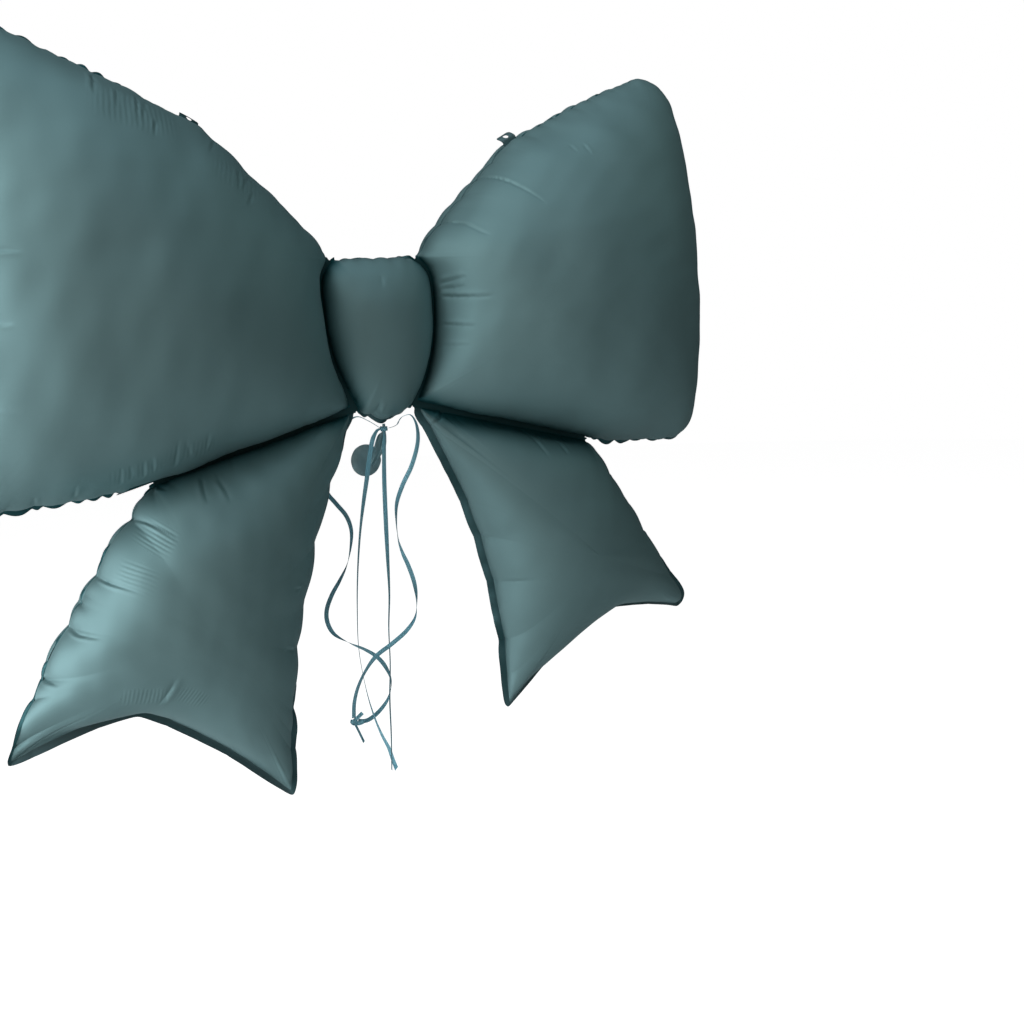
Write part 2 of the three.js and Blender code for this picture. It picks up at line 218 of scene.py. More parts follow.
# How far the tail begins from the weld's top and from its outer end
HINGE_GAPS: Point2 = (0.0045, 0.011)
LOOP_TOP = (
    Edge(0.051, 0.076, 0.0025, 5, Gather.SLIM, Fold(118, 118)),
    Edge(0.177, 0.199, 0.0045, 9, Gather.FULL),
    Edge(0.375, 0.287, 0.003, 3, Gather.SOFT, Fold(85, 70)),
    Edge(0.406, 0.273, 0.003, 2, Gather.SOFT, Fold(70, 60)),
    Edge(0.420, 0.240, 0.007, 9, Gather.PLAIN, Fold(60, 60)),
)
KNOT_TIP: Point2 = (-0.003, -0.098)
KNOT_CENTRE: Point2 = (0.0, 0.0)
LOOP_CENTRE: Point2 = (0.250, 0.060)
TAIL_CENTRE: Point2 = (0.235, -0.285)
CUTS: dict[Side, SideCut] = {
    Side.LEFT: SideCut(
        top_fold=Fold(86, 26, turn=0.45),
        hinge_end=(0.2645, -0.1395),
        loop_low=(
            Edge(0.440, -0.118, 0.003, 2, Gather.SOFT, Fold(60, 50)),
            Edge(0.432, -0.139, 0.002, 2, Gather.SOFT, Fold(50, 50)),
            Edge(0.416, -0.148, -0.0010, 6, Gather.FULL, Fold(18, 76, turn=0.72)),
        ),
        tail_outer=(0.0115, 9, Gather.DEEP, Fold(122, 15, turn=0.78)),
        tail_low=(
            Edge(0.423, -0.391, -0.005, 5, Gather.SLANT, Fold(-18, -18)),
            Edge(0.300, -0.366, -0.008, 6, Gather.SLANT, Fold(-18, -18)),
            Edge(0.152, -0.503, -0.027, 11, Gather.PLAIN, Fold(5, 65, turn=0.25)),
        ),
        loop_hinge=Gather.WELD,
        tail_hinge=Gather.LAPPED,
    ),
    Side.RIGHT: SideCut(
        top_fold=Fold(116, 112),
        hinge_end=(0.279, -0.1495),
        loop_low=(
            Edge(0.441, -0.124, 0.003, 2, Gather.SOFT, Fold(60, 50)),
            Edge(0.432, -0.147, 0.002, 2, Gather.SOFT, Fold(50, 50)),
            Edge(0.416, -0.1605, 0.002, 6, Gather.FULL, Fold(50, 60)),
        ),
        tail_outer=(-0.003, 9, Gather.PLAIN, Fold(75, 5, turn=0.68)),
        tail_low=(
            Edge(0.4235, -0.386, 0.0015, 2, Gather.PLAIN, Fold(5, 5)),
            Edge(0.4170, -0.3960, -0.0040, 5, Gather.NARROW, Fold(5, -12, turn=0.3)),
            Edge(0.291, -0.3752, -0.008, 6, Gather.NARROW, Fold(-18, -18)),
            Edge(0.139, -0.474, -0.030, 11, Gather.PLAIN, Fold(5, 25, turn=0.25)),
        ),
        loop_hinge=Gather.LAPPED,
        tail_hinge=Gather.TUCKED,
    ),
}


def unit(vector: Array) -> Array:
    """The vectors at length 1, along the last axis."""
    return vector / np.maximum(np.linalg.norm(vector, axis=-1, keepdims=True), 1e-12)


def left_of(vector: Array) -> Array:
    """Flat vectors turned a quarter turn to the left."""
    return np.stack([-vector[..., 1], vector[..., 0]], axis=-1)


def cross2(a: Array, b: Array) -> Array:
    """The cross product of flat vectors."""
    return a[..., 0] * b[..., 1] - a[..., 1] * b[..., 0]


def smoothed_loop(values: Array, spread: float) -> Array:
    """Values round a closed loop, smoothed by a bell curve.

    Args:
        values: one row for each place round the loop.
        spread: the bell curve's spread, in rows.

    Returns:
        The smoothed rows.
    """
    reach = int(3 * spread) + 1
    offsets = np.arange(-reach, reach + 1)
    weights = np.exp(-0.5 * (offsets / spread) ** 2)
    weights /= weights.sum()
    return sum(w * np.roll(values, -int(o), axis=0) for w, o in zip(weights, offsets))


def cubic_rows(values: Array, at: Array, closed: bool) -> Array:
    """Rows read between the given rows along a smooth curve.

    Args:
        values: rows at whole numbers.
        at: where to read, in rows.
        closed: whether the last row is followed by the first.

    Returns:
        One row for each place in at.
    """
    count = len(values)
    low = np.floor(at).astype(int)
    share = (at - low).reshape((-1,) + (1,) * (values.ndim - 1))
    rows = []
    for step in (-1, 0, 1, 2):
        index = (low + step) % count if closed else np.clip(low + step, 0, count - 1)
        rows.append(values[index])
    p0, p1, p2, p3 = rows
    return 0.5 * (
        2 * p1
        + (p2 - p0) * share
        + (2 * p0 - 5 * p1 + 4 * p2 - p3) * share**2
        + (3 * p1 - p0 - 3 * p2 + p3) * share**3
    )


@dataclass
class Run:
    """Part of an outline: its points, and the gather and fold of each stretch between them."""

    points: Array
    gathers: list[Gather]
    folds: list[float]

    def mirrored(self) -> Run:
        """The run on the other side of the bow, in the other direction."""
        return Run((self.points * [-1, 1])[::-1], self.gathers[::-1], self.folds[::-1])

    def reversed(self) -> Run:
        """The run in the other direction."""
        return Run(self.points[::-1], self.gathers[::-1], self.folds[::-1])


def bowed_line(edges: Sequence[Edge]) -> Run:
    """A run of bowed edges.

    Args:
        edges: the edges; the last entry only ends the run.

    Returns:
        The run.
    """
    points: list[Array] = []
    gathers: list[Gather] = []
    folds: list[float] = []
    for edge, after in zip(edges[:-1], edges[1:]):
        start = np.array([edge.x, edge.z])
        along = np.array([after.x, after.z]) - start
        outward = unit(left_of(along))
        for t in np.arange(edge.steps) / edge.steps:
            points.append(start + along * t + outward * (4 * edge.bow * t * (1 - t)))
            gathers.append(edge.gather)
            folds.append(edge.fold.at(float(t)))
    points.append(np.array([edges[-1].x, edges[-1].z]))
    return Run(np.array(points), gathers, folds)


def straight(start: Point2, end: Point2, steps: int, gather: Gather, fold: float = 0.0) -> Run:
    """A run of one straight edge."""
    return bowed_line((Edge(*start, 0.0, steps, gather, Fold(fold, fold)), Edge(*end, 0.0, 0)))


@dataclass
class Cell:
    """A chamber's flat outline, clockwise from the front.

    Where chambers meet it runs along the weld's centre line, and elsewhere along the inner line of the seam.
    """

    points: Array
    gathers: list[Gather]
    folds: list[float]

    # The turn below which a corner counts as straight, and how far it may move against its edges
    BARELY_TURNS = 0.2
    LONGEST_CORNER = 1.25

    @classmethod
    def joined(cls, runs: Iterable[Run]) -> Cell:
        """The cell made of runs that follow each other round the outline."""
        points = []
        gathers: list[Gather] = []
        folds: list[float] = []
        for run in runs:
            points.append(run.points[:-1])
            gathers.extend(run.gathers)
            folds.extend(run.folds)
        return cls(np.vstack(points), gathers, folds)

    def moved(self, free: float, weld: float) -> Array:
        """The outline moved outwards.

        Args:
            free: how far free edges move.
            weld: how far welds move.

        Returns:
            One moved point for each point of the outline.
        """
        widths = [weld if GATHERS[g].welded else free for g in self.gathers]
        normals = unit(left_of(np.roll(self.points, -1, axis=0) - self.points))
        moved = []
        for i, point in enumerate(self.points):
            a, b = normals[i - 1], normals[i]
            before, after = widths[i - 1], widths[i]
            turn = float(cross2(a, b))
            if abs(turn) < self.BARELY_TURNS and before != after:
                moved.append(point + b * min(before, after))
            elif abs(turn) < 1e-6:
                moved.append(point + b * after)
            else:
                shift = np.array([before * b[1] - after * a[1], after * a[0] - before * b[0]]) / turn
                most = self.LONGEST_CORNER * max(abs(before), abs(after))
                size = float(np.linalg.norm(shift))
                if shift @ a > 0 and shift @ b > 0 and size > most:
                    shift *= most / size
                moved.append(point + shift)
        return np.array(moved)


@dataclass(frozen=True)
class Crease:
    """A fold in the film, from the seam inwards.

    Its points are (distance from the bow's middle, height) in the seam's plane, as seen from the front.
    Ledge is how high the film stands beside it, as a share of its depth.
    """

    points: tuple[Point2, ...]
    depth: float = 0.0012
    width: float = 0.0028
    ledge: float = 0.6

    def height(self, away: Array, side: Array, share: Array) -> Array:
        """The lift beside the crease.

        Args:
            away: the distance from its line.
            side: the sign of the side on which a point lies.
            share: the share of its length, from the seam.

        Returns:
            The lift along the film's normal.
        """
        taper = np.clip(1.6 * (1 - share), 0, 1) ** 0.8 * np.clip(0.35 + 3 * share, 0, 1)
        x = away / self.width
        fold = -np.exp(-(np.sqrt(x**2 + 0.1) - 0.32) * 1.3)
        ledge = self.ledge * np.exp(-(((x - 1.7) / 1.3) ** 2)) * (side > 0)
        return self.depth * taper * (fold + ledge)


@dataclass(frozen=True)
class RidgeBand:
    """A patch of fine ridges that lie side by side, each along the given direction."""

    centre: Point2
    along: Point2
    length: float
    width: float
    pitch: float = 0.0040
    strength: float = 1.0


@dataclass
class SeamLines:
    """The two lines of a chamber's seam, point against point, and what varies along them.

    Rim is the film's foot and margin the welded margin's outer line, run the distance along the rim, and
    width the margin's width. Weld is 1 where chambers meet. The others are the gathers' sizes.
    """

    rim: Array
    margin: Array
    run: Array
    length: float
    weld: Array
    fold: Array
    overhang: Array
    scallop: Array
    shadow: Array
    width: Array
    waves: Array
    margin_shade: Array
    slack: Array
    styles: list[Gather]


@dataclass
class Chamber:
    """One gas-filled chamber: two domed film sheets, welded all round."""

    name: str
    body: str
    side: int
    cell: Cell
    centre: Point2
    seed: int
    columns: int = 640
    rings: int = 60
    seam_width: float = 0.0075
    # How far the painted shade of a deep weld reaches, as a share of the gathers' own
    shade: float = 1.0
    liveliness: float = 1.0
    creases: dict[Face, Sequence[Crease]] = field(default_factory=dict)
    ridges: dict[Face, Sequence[RidgeBand]] = field(default_factory=dict)

    BULGE = 0.6
    WELD_RIM = 0.004
    WELD_END = 0.0004
    FILM = 0.00035
    CORNER_SPREAD = 0.003
    CORNER_ROUNDING = 1.6
    RIM_SHARE = 0.35
    COARSE_STEP = 4
    COARSE_RINGS = 26
    OVERHANG_HEIGHT = 0.013
    FLANGE_RINGS = 6
    STRIDES = 4
    FOOT_REACH = 0.014
    # How strongly and how much the margin narrows on its way into a weld
    WELD_PULL = 2.2
    WELD_NARROWING = 0.7
    SLANT_POWER = 1.5
    SOLVER_STEPS = 1500
    SOLVED = 1e-9
    # Where the first pinch stands and what is left free before the last column, in first pitches
    FIRST_PINCH = 0.3
    LAST_GAP = 0.4
    # How each pinch differs from its edge's style: lowest and highest share
    PITCHES = (0.65, 1.4)
    DEPTHS = (0.35, 1.3)
    REACHES = (0.5, 1.5)
    SWAYS = (0.4, 1.0)
    LEANS = (-0.35, 0.35)
    SHORTEST_PITCH = 0.004
    # A pinch's width at the seam, its widening inwards and the roundness of its bottom
    PINCH_WIDTH = 0.0022
    PINCH_WIDENING = 0.10
    PINCH_ROUND = 0.0007
    PINCH_FADE = 1.8
    # The pitch above which scallops grow no further, how far in they reach, and how they fade
    WIDEST_SCALLOP = 0.042
    SCALLOP_REACH = 0.75
    SCALLOP_FADE = 1.5
    CALM_WELD = 0.004
    SMOOTH_COLUMNS = 2.0
    # The two sheets' own gathers: share of the shared depth and reach, and how far the seam holds them
    OWN_DEPTH = 0.45
    OWN_REACH = 0.7
    SEAM_HOLD = 0.006
    SWAY_REACH = 0.018
    # Wave length and height of the film's slow unevenness, and how many waves of each
    UNEVENNESS = ((0.110, 0.00045), (0.060, 0.00022), (0.028, 0.00007))
    UNEVEN_WAVES = 5
    WAVE_LENGTHS = (0.8, 1.3)
    # The margin's restlessness: over how many columns, how strong, and its part in folded and flat film
    REST_COLUMNS = 5.0
    UNREST = 1.6
    FOLDED_UNREST = 0.55
    FLAT_UNREST = 0.25
    FOLD_SPEED = 2.2
    SQUARE_FACE = 0.95
    # How far in from the seam the film is drawn darker, as painted shade at the film's foot
    SEAM_TINT_REACH = 0.007
    SHARP = math.radians(70)
    RIDGE_LENGTH_FADE = 1.2
    RIDGE_WIDTH_FADE = 1.6

    def seam_lines(self) -> SeamLines:
        """The seam's inner and outer line at every column."""
        rim = self.cell.moved(0.0, -self.WELD_RIM)
        margin = self.cell.moved(self.seam_width, -self.WELD_END)
        lengths = np.linalg.norm(np.roll(rim, -1, axis=0) - rim, axis=1)
        ends = np.concatenate([[0.0], np.cumsum(lengths)])
        run = np.arange(self.columns) / self.columns * ends[-1]
        edge = np.clip(np.searchsorted(ends, run, side="right") - 1, 0, len(rim) - 1)
        share = ((run - ends[edge]) / lengths[edge])[:, None]
        spread = self.CORNER_SPREAD / (ends[-1] / self.columns)
        dense = []
        for line in (rim, margin):
            points = line[edge] * (1 - share) + np.roll(line, -1, axis=0)[edge] * share
            dense.append(smoothed_loop(points, spread))
        rounded = smoothed_loop(dense[1], self.CORNER_ROUNDING * spread)
        styles = [self.cell.gathers[e] for e in edge]

        def spread_out(value: Callable[[GatherStyle], float], share: float = 1.0) -> Array:
            """One size of the gathers round the seam, smoothed over a share of the corners' spread."""
            return smoothed_loop(np.array([float(value(GATHERS[s])) for s in styles]), spread * share)

        weld = spread_out(lambda style: style.welded, 0.5)
        bends = np.radians(self.cell.folds)
        fold = bends[edge] * (1 - share[:, 0]) + np.roll(bends, -1)[edge] * share[:, 0]
        fold = smoothed_loop(fold, 2 * spread)
        near_weld = np.clip(self.WELD_PULL * spread_out(lambda style: style.welded, 2.0), 0, 1)
        dense[1] = dense[1] * near_weld[:, None] + rounded * (1 - near_weld)[:, None]
        narrowed = 1 - self.WELD_NARROWING * (1 - weld) * near_weld
        width = spread_out(lambda style: style.margin, 2.0) * narrowed
        return SeamLines(
            rim=dense[0],
            margin=dense[1],
            run=run,
            length=float(ends[-1]),
            weld=weld,
            fold=fold,
            overhang=spread_out(lambda style: style.overhang),
            scallop=spread_out(lambda style: style.scallop),
            shadow=spread_out(lambda style: style.shadow) * self.shade,
            width=width * np.linalg.norm(dense[1] - dense[0], axis=1),
            waves=spread_out(lambda style: style.waves, 2.0),
            margin_shade=spread_out(lambda style: style.margin_shade, 2.0),
            slack=spread_out(lambda style: style.slack, 6.0),
            styles=styles,
        )

    def membrane(self, rim: Array) -> Array:
        """How far a membrane over the outline rises under an even push, on a polar grid of triangles.

        Args:
            rim: the outline.

        Returns:
            The rise at each ring and column, from the centre up to but without the rim.
        """
        columns = len(rim)
        angle = math.pi / 2 * np.arange(1, self.COARSE_RINGS + 1) / self.COARSE_RINGS
        centre = np.array(self.centre)
        points = centre + (rim[None] - centre) * np.sin(angle)[:, None, None]
        points = np.vstack([centre[None], points.reshape(-1, 2)])
        near = np.arange(columns)
        after = (near + 1) % columns
        triangles = [np.stack([np.zeros(columns, int), 1 + near, 1 + after], axis=-1)]
        for ring in range(self.COARSE_RINGS - 1):
            a, b = 1 + ring * columns, 1 + (ring + 1) * columns
            triangles.append(np.stack([a + near, b + near, b + after], axis=-1))
            triangles.append(np.stack([a + near, b + after, a + after], axis=-1))
        mesh = np.vstack(triangles)
        corners = points[mesh]
        sides = np.roll(corners, -2, axis=1) - np.roll(corners, -1, axis=1)
        area = np.abs(cross2(sides[:, 0], sides[:, 1])) / 2
        stiffness = np.einsum("tik,tjk->tij", sides, sides) / (4 * area)[:, None, None]
        rows, cols = np.repeat(mesh, 3, axis=1).ravel(), np.tile(mesh, (1, 3)).ravel()
        values = stiffness.ravel()
        count = len(points)
        free = np.arange(count) < count - columns
        load = np.bincount(mesh.ravel(), np.repeat(area / 3, 3), count) * free
        scale = np.bincount(rows, values * (rows == cols), count)
        rise = np.zeros(count)
        rest = load.copy()
        step = eased = rest / scale
        for _ in range(self.SOLVER_STEPS):
            pull = np.bincount(rows, values * step[cols], count) * free
            share = (rest @ eased) / (step @ pull)
            rise += share * step
            left = rest - share * pull
            if np.abs(left).max() < self.SOLVED * np.abs(load).max():
                break
            next_eased = left / scale
            step = next_eased + step * ((left @ next_eased) / (rest @ eased))
            rest, eased = left, next_eased
        inner = rise[1 : count - columns].reshape(-1, columns)
        return np.vstack([np.full((1, columns), rise[0]), inner])

    def dome(self, seam: SeamLines) -> Array:
        """The smooth inflated film over the right half, at every ring and column.

        The depth is the root of a pushed membrane's rise, which makes a strip an elliptic tube and a disc
        an ellipsoid.

        Args:
            seam: the chamber's seam.

        Returns:
            An array of rings by columns by (x, depth, z), from the centre out to the seam.
        """
        share = np.linspace(0, 1, self.rings + 1)
        bend = self.RIM_SHARE
        angle = math.pi / 2 * ((1 - bend) * share + bend * (1 - (1 - share) ** 2))
        coarse_angle = math.pi / 2 * np.arange(self.COARSE_RINGS) / self.COARSE_RINGS
        depth = self.BULGE * 2 * np.sqrt(self.membrane(seam.rim[:: self.COARSE_STEP]))
        scaled = depth / np.cos(coarse_angle)[:, None]
        scaled = cubic_rows(scaled.T, np.arange(self.columns) / self.COARSE_STEP, closed=True).T
        scaled = cubic_rows(scaled, angle / (math.pi / 2) * self.COARSE_RINGS, closed=False)
        centre = np.array(self.centre)
        points = centre + (seam.rim[None] - centre) * np.sin(angle)[:, None, None]
        height = scaled * np.cos(angle)[:, None]
        height *= 1 - np.exp(-((height / (seam.slack + 1e-6)) ** self.SLANT_POWER))
        lean = height / self.OVERHANG_HEIGHT
        outward = unit(seam.margin - seam.rim) * seam.overhang[:, None]
        points = points + outward[None] * ((lean * np.exp(1 - lean)) ** 2)[..., None]
        return np.stack([points[..., 0], height, points[..., 1]], axis=-1)

    @staticmethod
    def normals(grid: Array) -> Array:
        """Outward normals of a domed grid whose first ring is its centre."""
        round_it = np.roll(grid, -1, axis=1) - np.roll(grid, 1, axis=1)
        outward = np.gradient(grid, axis=0)
        normal = unit(np.cross(round_it, outward))
        normal[0] = unit(normal[1].mean(axis=0))
        flip = np.sign((normal[..., 1] * np.maximum(grid[..., 1], 0)).sum())
        return normal * flip

    def crease_feet(self, seam: SeamLines) -> list[float]:
        """Where the front sheet's creases meet the seam, along its run."""
        feet = []
        for crease in self.creases.get(Face.FRONT, ()):
            away = np.linalg.norm(seam.rim - np.array(crease.points[0]), axis=1)
            nearest = int(away.argmin())
            if away[nearest] < self.FOOT_REACH:
                feet.append(float(seam.run[nearest]))
        return feet

    def gather_marks(self, seam: SeamLines, rng: np.random.Generator) -> Array:
        """Where the film is pinched along the seam.

        Args:
            seam: the chamber's seam.
            rng: the chamber's own random numbers.

        Returns:
            One row for each pinch: its run, depth, reach, sway and lean.
        """
        marks = []
        first_pitch = GATHERS[seam.styles[0]].pitch
        place = self.FIRST_PINCH * first_pitch
        while place < seam.length - self.LAST_GAP * first_pitch:
            style = GATHERS[seam.styles[int(place / seam.length * self.columns) % self.columns]]
            pitch = style.pitch * rng.uniform(*self.PITCHES)
            marks.append(
                (
                    place,
                    style.depth * rng.uniform(*self.DEPTHS) * self.liveliness,
                    style.reach * rng.uniform(*self.REACHES),
                    style.sway * rng.uniform(*self.SWAYS) * (1 if len(marks) % 2 else -1),
                    rng.uniform(*self.LEANS),
                )
            )
            place += pitch
        rows = np.array(marks)
        for foot in self.crease_feet(seam):
            rows[np.abs(rows[:, 0] - foot).argmin(), 0] = foot
        return rows[np.argsort(rows[:, 0])]

    def pinches(self, seam: SeamLines, marks: Array) -> tuple[Array, Array, Array]:
        """The pinches on both sides of each column.

        Args:
            seam: the chamber's seam.
            marks: the pinches along it.

        Returns:
            The last pinch before each column, the pitch to the next, and the share of the way there.
        """
        ends = np.append(marks[:, 0], seam.length)
        index = np.clip(np.searchsorted(marks[:, 0], seam.run, side="right") - 1, 0, len(marks) - 1)
        pitch = np.maximum(ends[index + 1] - ends[index], self.SHORTEST_PITCH)
        return index, pitch, np.clip((seam.run - ends[index]) / pitch, 0, 1)

    def gathered(self, seam: SeamLines, marks: Array, inward: Array) -> tuple[Array, Array]:
        """How the gathers lift and lower the film.

        Args:
            seam: the chamber's seam.
            marks: the pinches along it.
            inward: each grid point's distance from the seam along the film.

        Returns:
            The lift along the film's normal, and the seam's sway along Y for each column.
        """
        lift = np.zeros_like(inward)
        half = seam.length / 2
        for place, depth, reach, _, lean in marks:
            across = (seam.run[None] - place - lean * inward + half) % seam.length - half
            width = self.PINCH_WIDTH + self.PINCH_WIDENING * inward
            pinch = np.exp(-(np.sqrt(across**2 + self.PINCH_ROUND**2) - self.PINCH_ROUND) / width)
            lift -= depth * pinch * np.exp(-((inward / reach) ** self.PINCH_FADE))
        index, pitch, share = self.pinches(seam, marks)
        round_out = seam.scallop * np.minimum(pitch, self.WIDEST_SCALLOP) * np.sin(np.pi * share)
        free = 1 - seam.weld
        fade = np.exp(-((inward / (self.SCALLOP_REACH * pitch)) ** self.SCALLOP_FADE))
        lift += round_out * self.liveliness * fade * free
        near_weld = 1 - np.exp(-((inward / self.CALM_WELD) ** 2))
        lift *= free + seam.weld * near_weld
        sway_ends = np.append(marks[:, 3], marks[0, 3])
        ease = eased(share)
        sway = (sway_ends[index] * (1 - ease) + sway_ends[index + 1] * ease) * free
        return lift, smoothed_loop(sway, self.SMOOTH_COLUMNS)

    @staticmethod
    def crease_lift(crease: Crease, grid: Array) -> Array:
        """How one crease lifts and lowers the film.

        Args:
            crease: the crease.
            grid: the domed film, rings by columns by (x, depth, z).

        Returns:
            The lift along the normal at each grid point.
        """
        knots = np.array(crease.points)
        steps = np.linspace(0, len(knots) - 1, 8 * len(knots))
        line = cubic_rows(knots, steps, closed=False)
        flat = grid[..., [0, 2]].reshape(-1, 2)
        nearest = [int(((flat - p) ** 2).sum(axis=1).argmin()) for p in line]
        lifted = grid.reshape(-1, 3)[nearest].copy()
        lifted[:, [0, 2]] = line
        reach = 6 * crease.width
        low, high = lifted.min(axis=0) - reach, lifted.max(axis=0) + reach
        points = grid.reshape(-1, 3)
        inside = np.flatnonzero(((points > low) & (points < high)).all(axis=1))
        lift = np.zeros(len(points))
        if not len(inside):
            return lift.reshape(grid.shape[:2])
        offsets = points[inside, None] - lifted[None]
        distance = np.linalg.norm(offsets, axis=2)
        at = distance.argmin(axis=1)
        away = distance[np.arange(len(inside)), at]
        tangent = unit(np.gradient(lifted, axis=0))[at]
        offset = offsets[np.arange(len(inside)), at]
        side = np.sign(cross2(tangent[:, [0, 2]], offset[:, [0, 2]]))
        share = at / (len(lifted) - 1)
        lift[inside] = crease.height(away, side, share)
        return lift.reshape(grid.shape[:2])

    def undulation(self, grid: Array, rng: np.random.Generator) -> Array:
        """A slow unevenness of the film.

        Args:
            grid: the domed film.
            rng: the sheet's own random numbers.

        Returns:
            The lift along the normal at each grid point.
        """
        lift = np.zeros(grid.shape[:2])
        for length, height in self.UNEVENNESS:
            for _ in range(self.UNEVEN_WAVES):
                direction = unit(rng.normal(size=3))
                wave = grid @ direction * (2 * math.pi / (length * rng.uniform(*self.WAVE_LENGTHS)))
                lift += height * np.sin(wave + rng.uniform(0, 2 * math.pi))
        return lift

    def film(self, face: Face) -> bpy.types.Object:
        """One finished film sheet with its half of the welded margin.

        Args:
            face: which of the two sheets.

        Returns:
            The sheet's object, not yet dressed.
        """
        seam = self.seam_lines()
        grid = self.dome(seam)
        normal = self.normals(grid)
        steps = np.linalg.norm(np.diff(grid, axis=0), axis=2)
        inward = np.vstack([np.cumsum(steps[::-1], axis=0)[::-1], np.zeros((1, self.columns))])
        marks = self.gather_marks(seam, np.random.default_rng(self.seed))
        own = np.random.default_rng(self.seed * 10 + face.value)
        lift, sway = self.gathered(seam, marks, inward)
        own_marks = self.gather_marks(seam, own)
        own_marks[:, 1] *= self.OWN_DEPTH
        own_marks[:, 2] *= self.OWN_REACH
        own_lift, _ = self.gathered(seam, own_marks, inward)
        held = 1 - np.exp(-inward / self.SEAM_HOLD)
        lift += own_lift * held
        for crease in self.creases.get(face, ()):
            lift += self.crease_lift(crease, grid)
        lift += self.undulation(grid, own) * held
        shaped = grid + normal * lift[..., None]
        shaped[..., 1] += self.FILM
        shaped[..., 1] += face.value * sway[None] * np.exp(-inward / self.SWAY_REACH)
        return self.sheet_object(face, seam, shaped, inward, marks)

    def flange(self, seam: SeamLines, rim: Array, face: Face, marks: Array) -> Array:
        """The rings of the flat welded margin, from the film's foot to the seam's outer edge.

        Args:
            seam: the chamber's seam.
            rim: the shaped film's last ring.
            face: which of the two sheets.
            marks: the pinches along the seam.

        Returns:
            Rings by columns by (x, depth, z); the last ring closes the edge.
        """
        rng = np.random.default_rng(self.seed + 5)
        free = 1 - seam.weld
        unrest = smoothed_loop(rng.normal(size=self.columns), self.REST_COLUMNS) * self.UNREST
        fold = (seam.fold * (1 + self.FOLDED_UNREST * unrest) + self.FLAT_UNREST * unrest) * free
        outward = unit(seam.margin - seam.rim)
        _, _, share = self.pinches(seam, marks)
        width = seam.width * (1 - seam.waves * (1 - np.sin(np.pi * share)))
        width = smoothed_loop(width, self.SMOOTH_COLUMNS)
        flat, back = rim[:, [0, 2]].copy(), face.value * (rim[:, 1] - self.FILM)
        rings = []
        for k in range(1, self.FLANGE_RINGS + 1):
            bend = fold * min(1.0, self.FOLD_SPEED * k / self.FLANGE_RINGS)
            step = width / self.FLANGE_RINGS
            flat = flat + outward * (step * np.cos(bend))[:, None]
            back = back + step * np.sin(bend)
            rings.append(np.stack([flat[:, 0], self.FILM + face.value * back, flat[:, 1]], axis=-1))
        edge = rings[-1].copy()
        edge[:, 1] -= self.FILM
        rings.append(edge)
        return np.array(rings)

    def stride(self, ring: int) -> int:
        """How many columns one face spans at a ring, so that faces stay about square."""
        share = max(math.sin(math.pi / 2 * ring / self.rings), 1e-6)
        return 2 ** min(self.STRIDES, max(0, int(math.log2(self.SQUARE_FACE / share))))

    def sheet_object(
        self, face: Face, seam: SeamLines, grid: Array, inward: Array, marks: Array
    ) -> bpy.types.Object:
        """The mesh of a sheet from its grid.

        Args:
            face: which of the two sheets.
            seam: the chamber's seam.
            grid: the shaped film, rings by columns.
            inward: each grid point's distance from the seam along the film.
            marks: the pinches along the seam.

        Returns:
            The sheet's object.
        """
        flange = self.flange(seam, grid[-1], face, marks)
        finest = 1 if face is Face.FRONT else 2
        away = inward[1:]
        # Darker towards the seam: painted shade at the film's foot, the doubled film's own tone on the margin
        near = np.exp(-away / self.SEAM_TINT_REACH)
        # Painted shade in the deep valley of a weld, reaching over the film from it
        dark = seam.weld * np.exp(-((away / (seam.shadow + 1e-5)) ** 2))
        # On the margin: the seam's full darkening, and painted shade, full at welds and elsewhere as its
        # edge's margin shade sets
        edge = (finest, np.ones(self.columns), np.maximum(seam.weld, seam.margin_shade))
        inner = range(1, self.rings + 1)
        rings = [(grid[j], max(finest, self.stride(j)), near[j - 1], dark[j - 1]) for j in inner]
        rings += [(ring, *edge) for ring in flange]
        strides = [ring[1] for ring in rings]
        vertices = [grid[0].mean(axis=0)[None]]
        seamness, painted_shade = [np.zeros(1)], [np.zeros(1)]
        starts = []
        count = 1
        for ring, stride, close, deep in rings:
            starts.append(count)
            vertices.append(ring[::stride])
            seamness.append(close[::stride])
            painted_shade.append(deep[::stride])
            count += len(vertices[-1])
        faces: list[tuple[int, ...]] = []
        parts: list[int] = []
        first = self.columns // strides[0]
        faces += [(0, starts[0] + i, starts[0] + (i + 1) % first) for i in range(first)]
        parts += [0] * first
        for j in range(len(rings) - 1):
            added = ring_faces(starts[j], starts[j + 1], self.columns, strides[j], strides[j + 1])
            faces += added
            parts += [int(j + 1 >= self.rings)] * len(added)
        points = np.vstack(vertices)
        points[:, 0] *= self.side
        points[:, 1] *= face.value
        if self.side * face.value > 0:
            faces = [tuple(reversed(f)) for f in faces]
        made = new_object(f"{self.name}_{face.name.lower()}_film", points, faces)
        made.data.polygons.foreach_set("material_index", parts)
        set_attribute(made, "seam", np.concatenate(seamness))
        set_attribute(made, "painted_shade", np.concatenate(painted_shade))
        self.mark_ridges(made, face)
        made.data.set_sharp_from_angle(angle=self.SHARP)
        return made

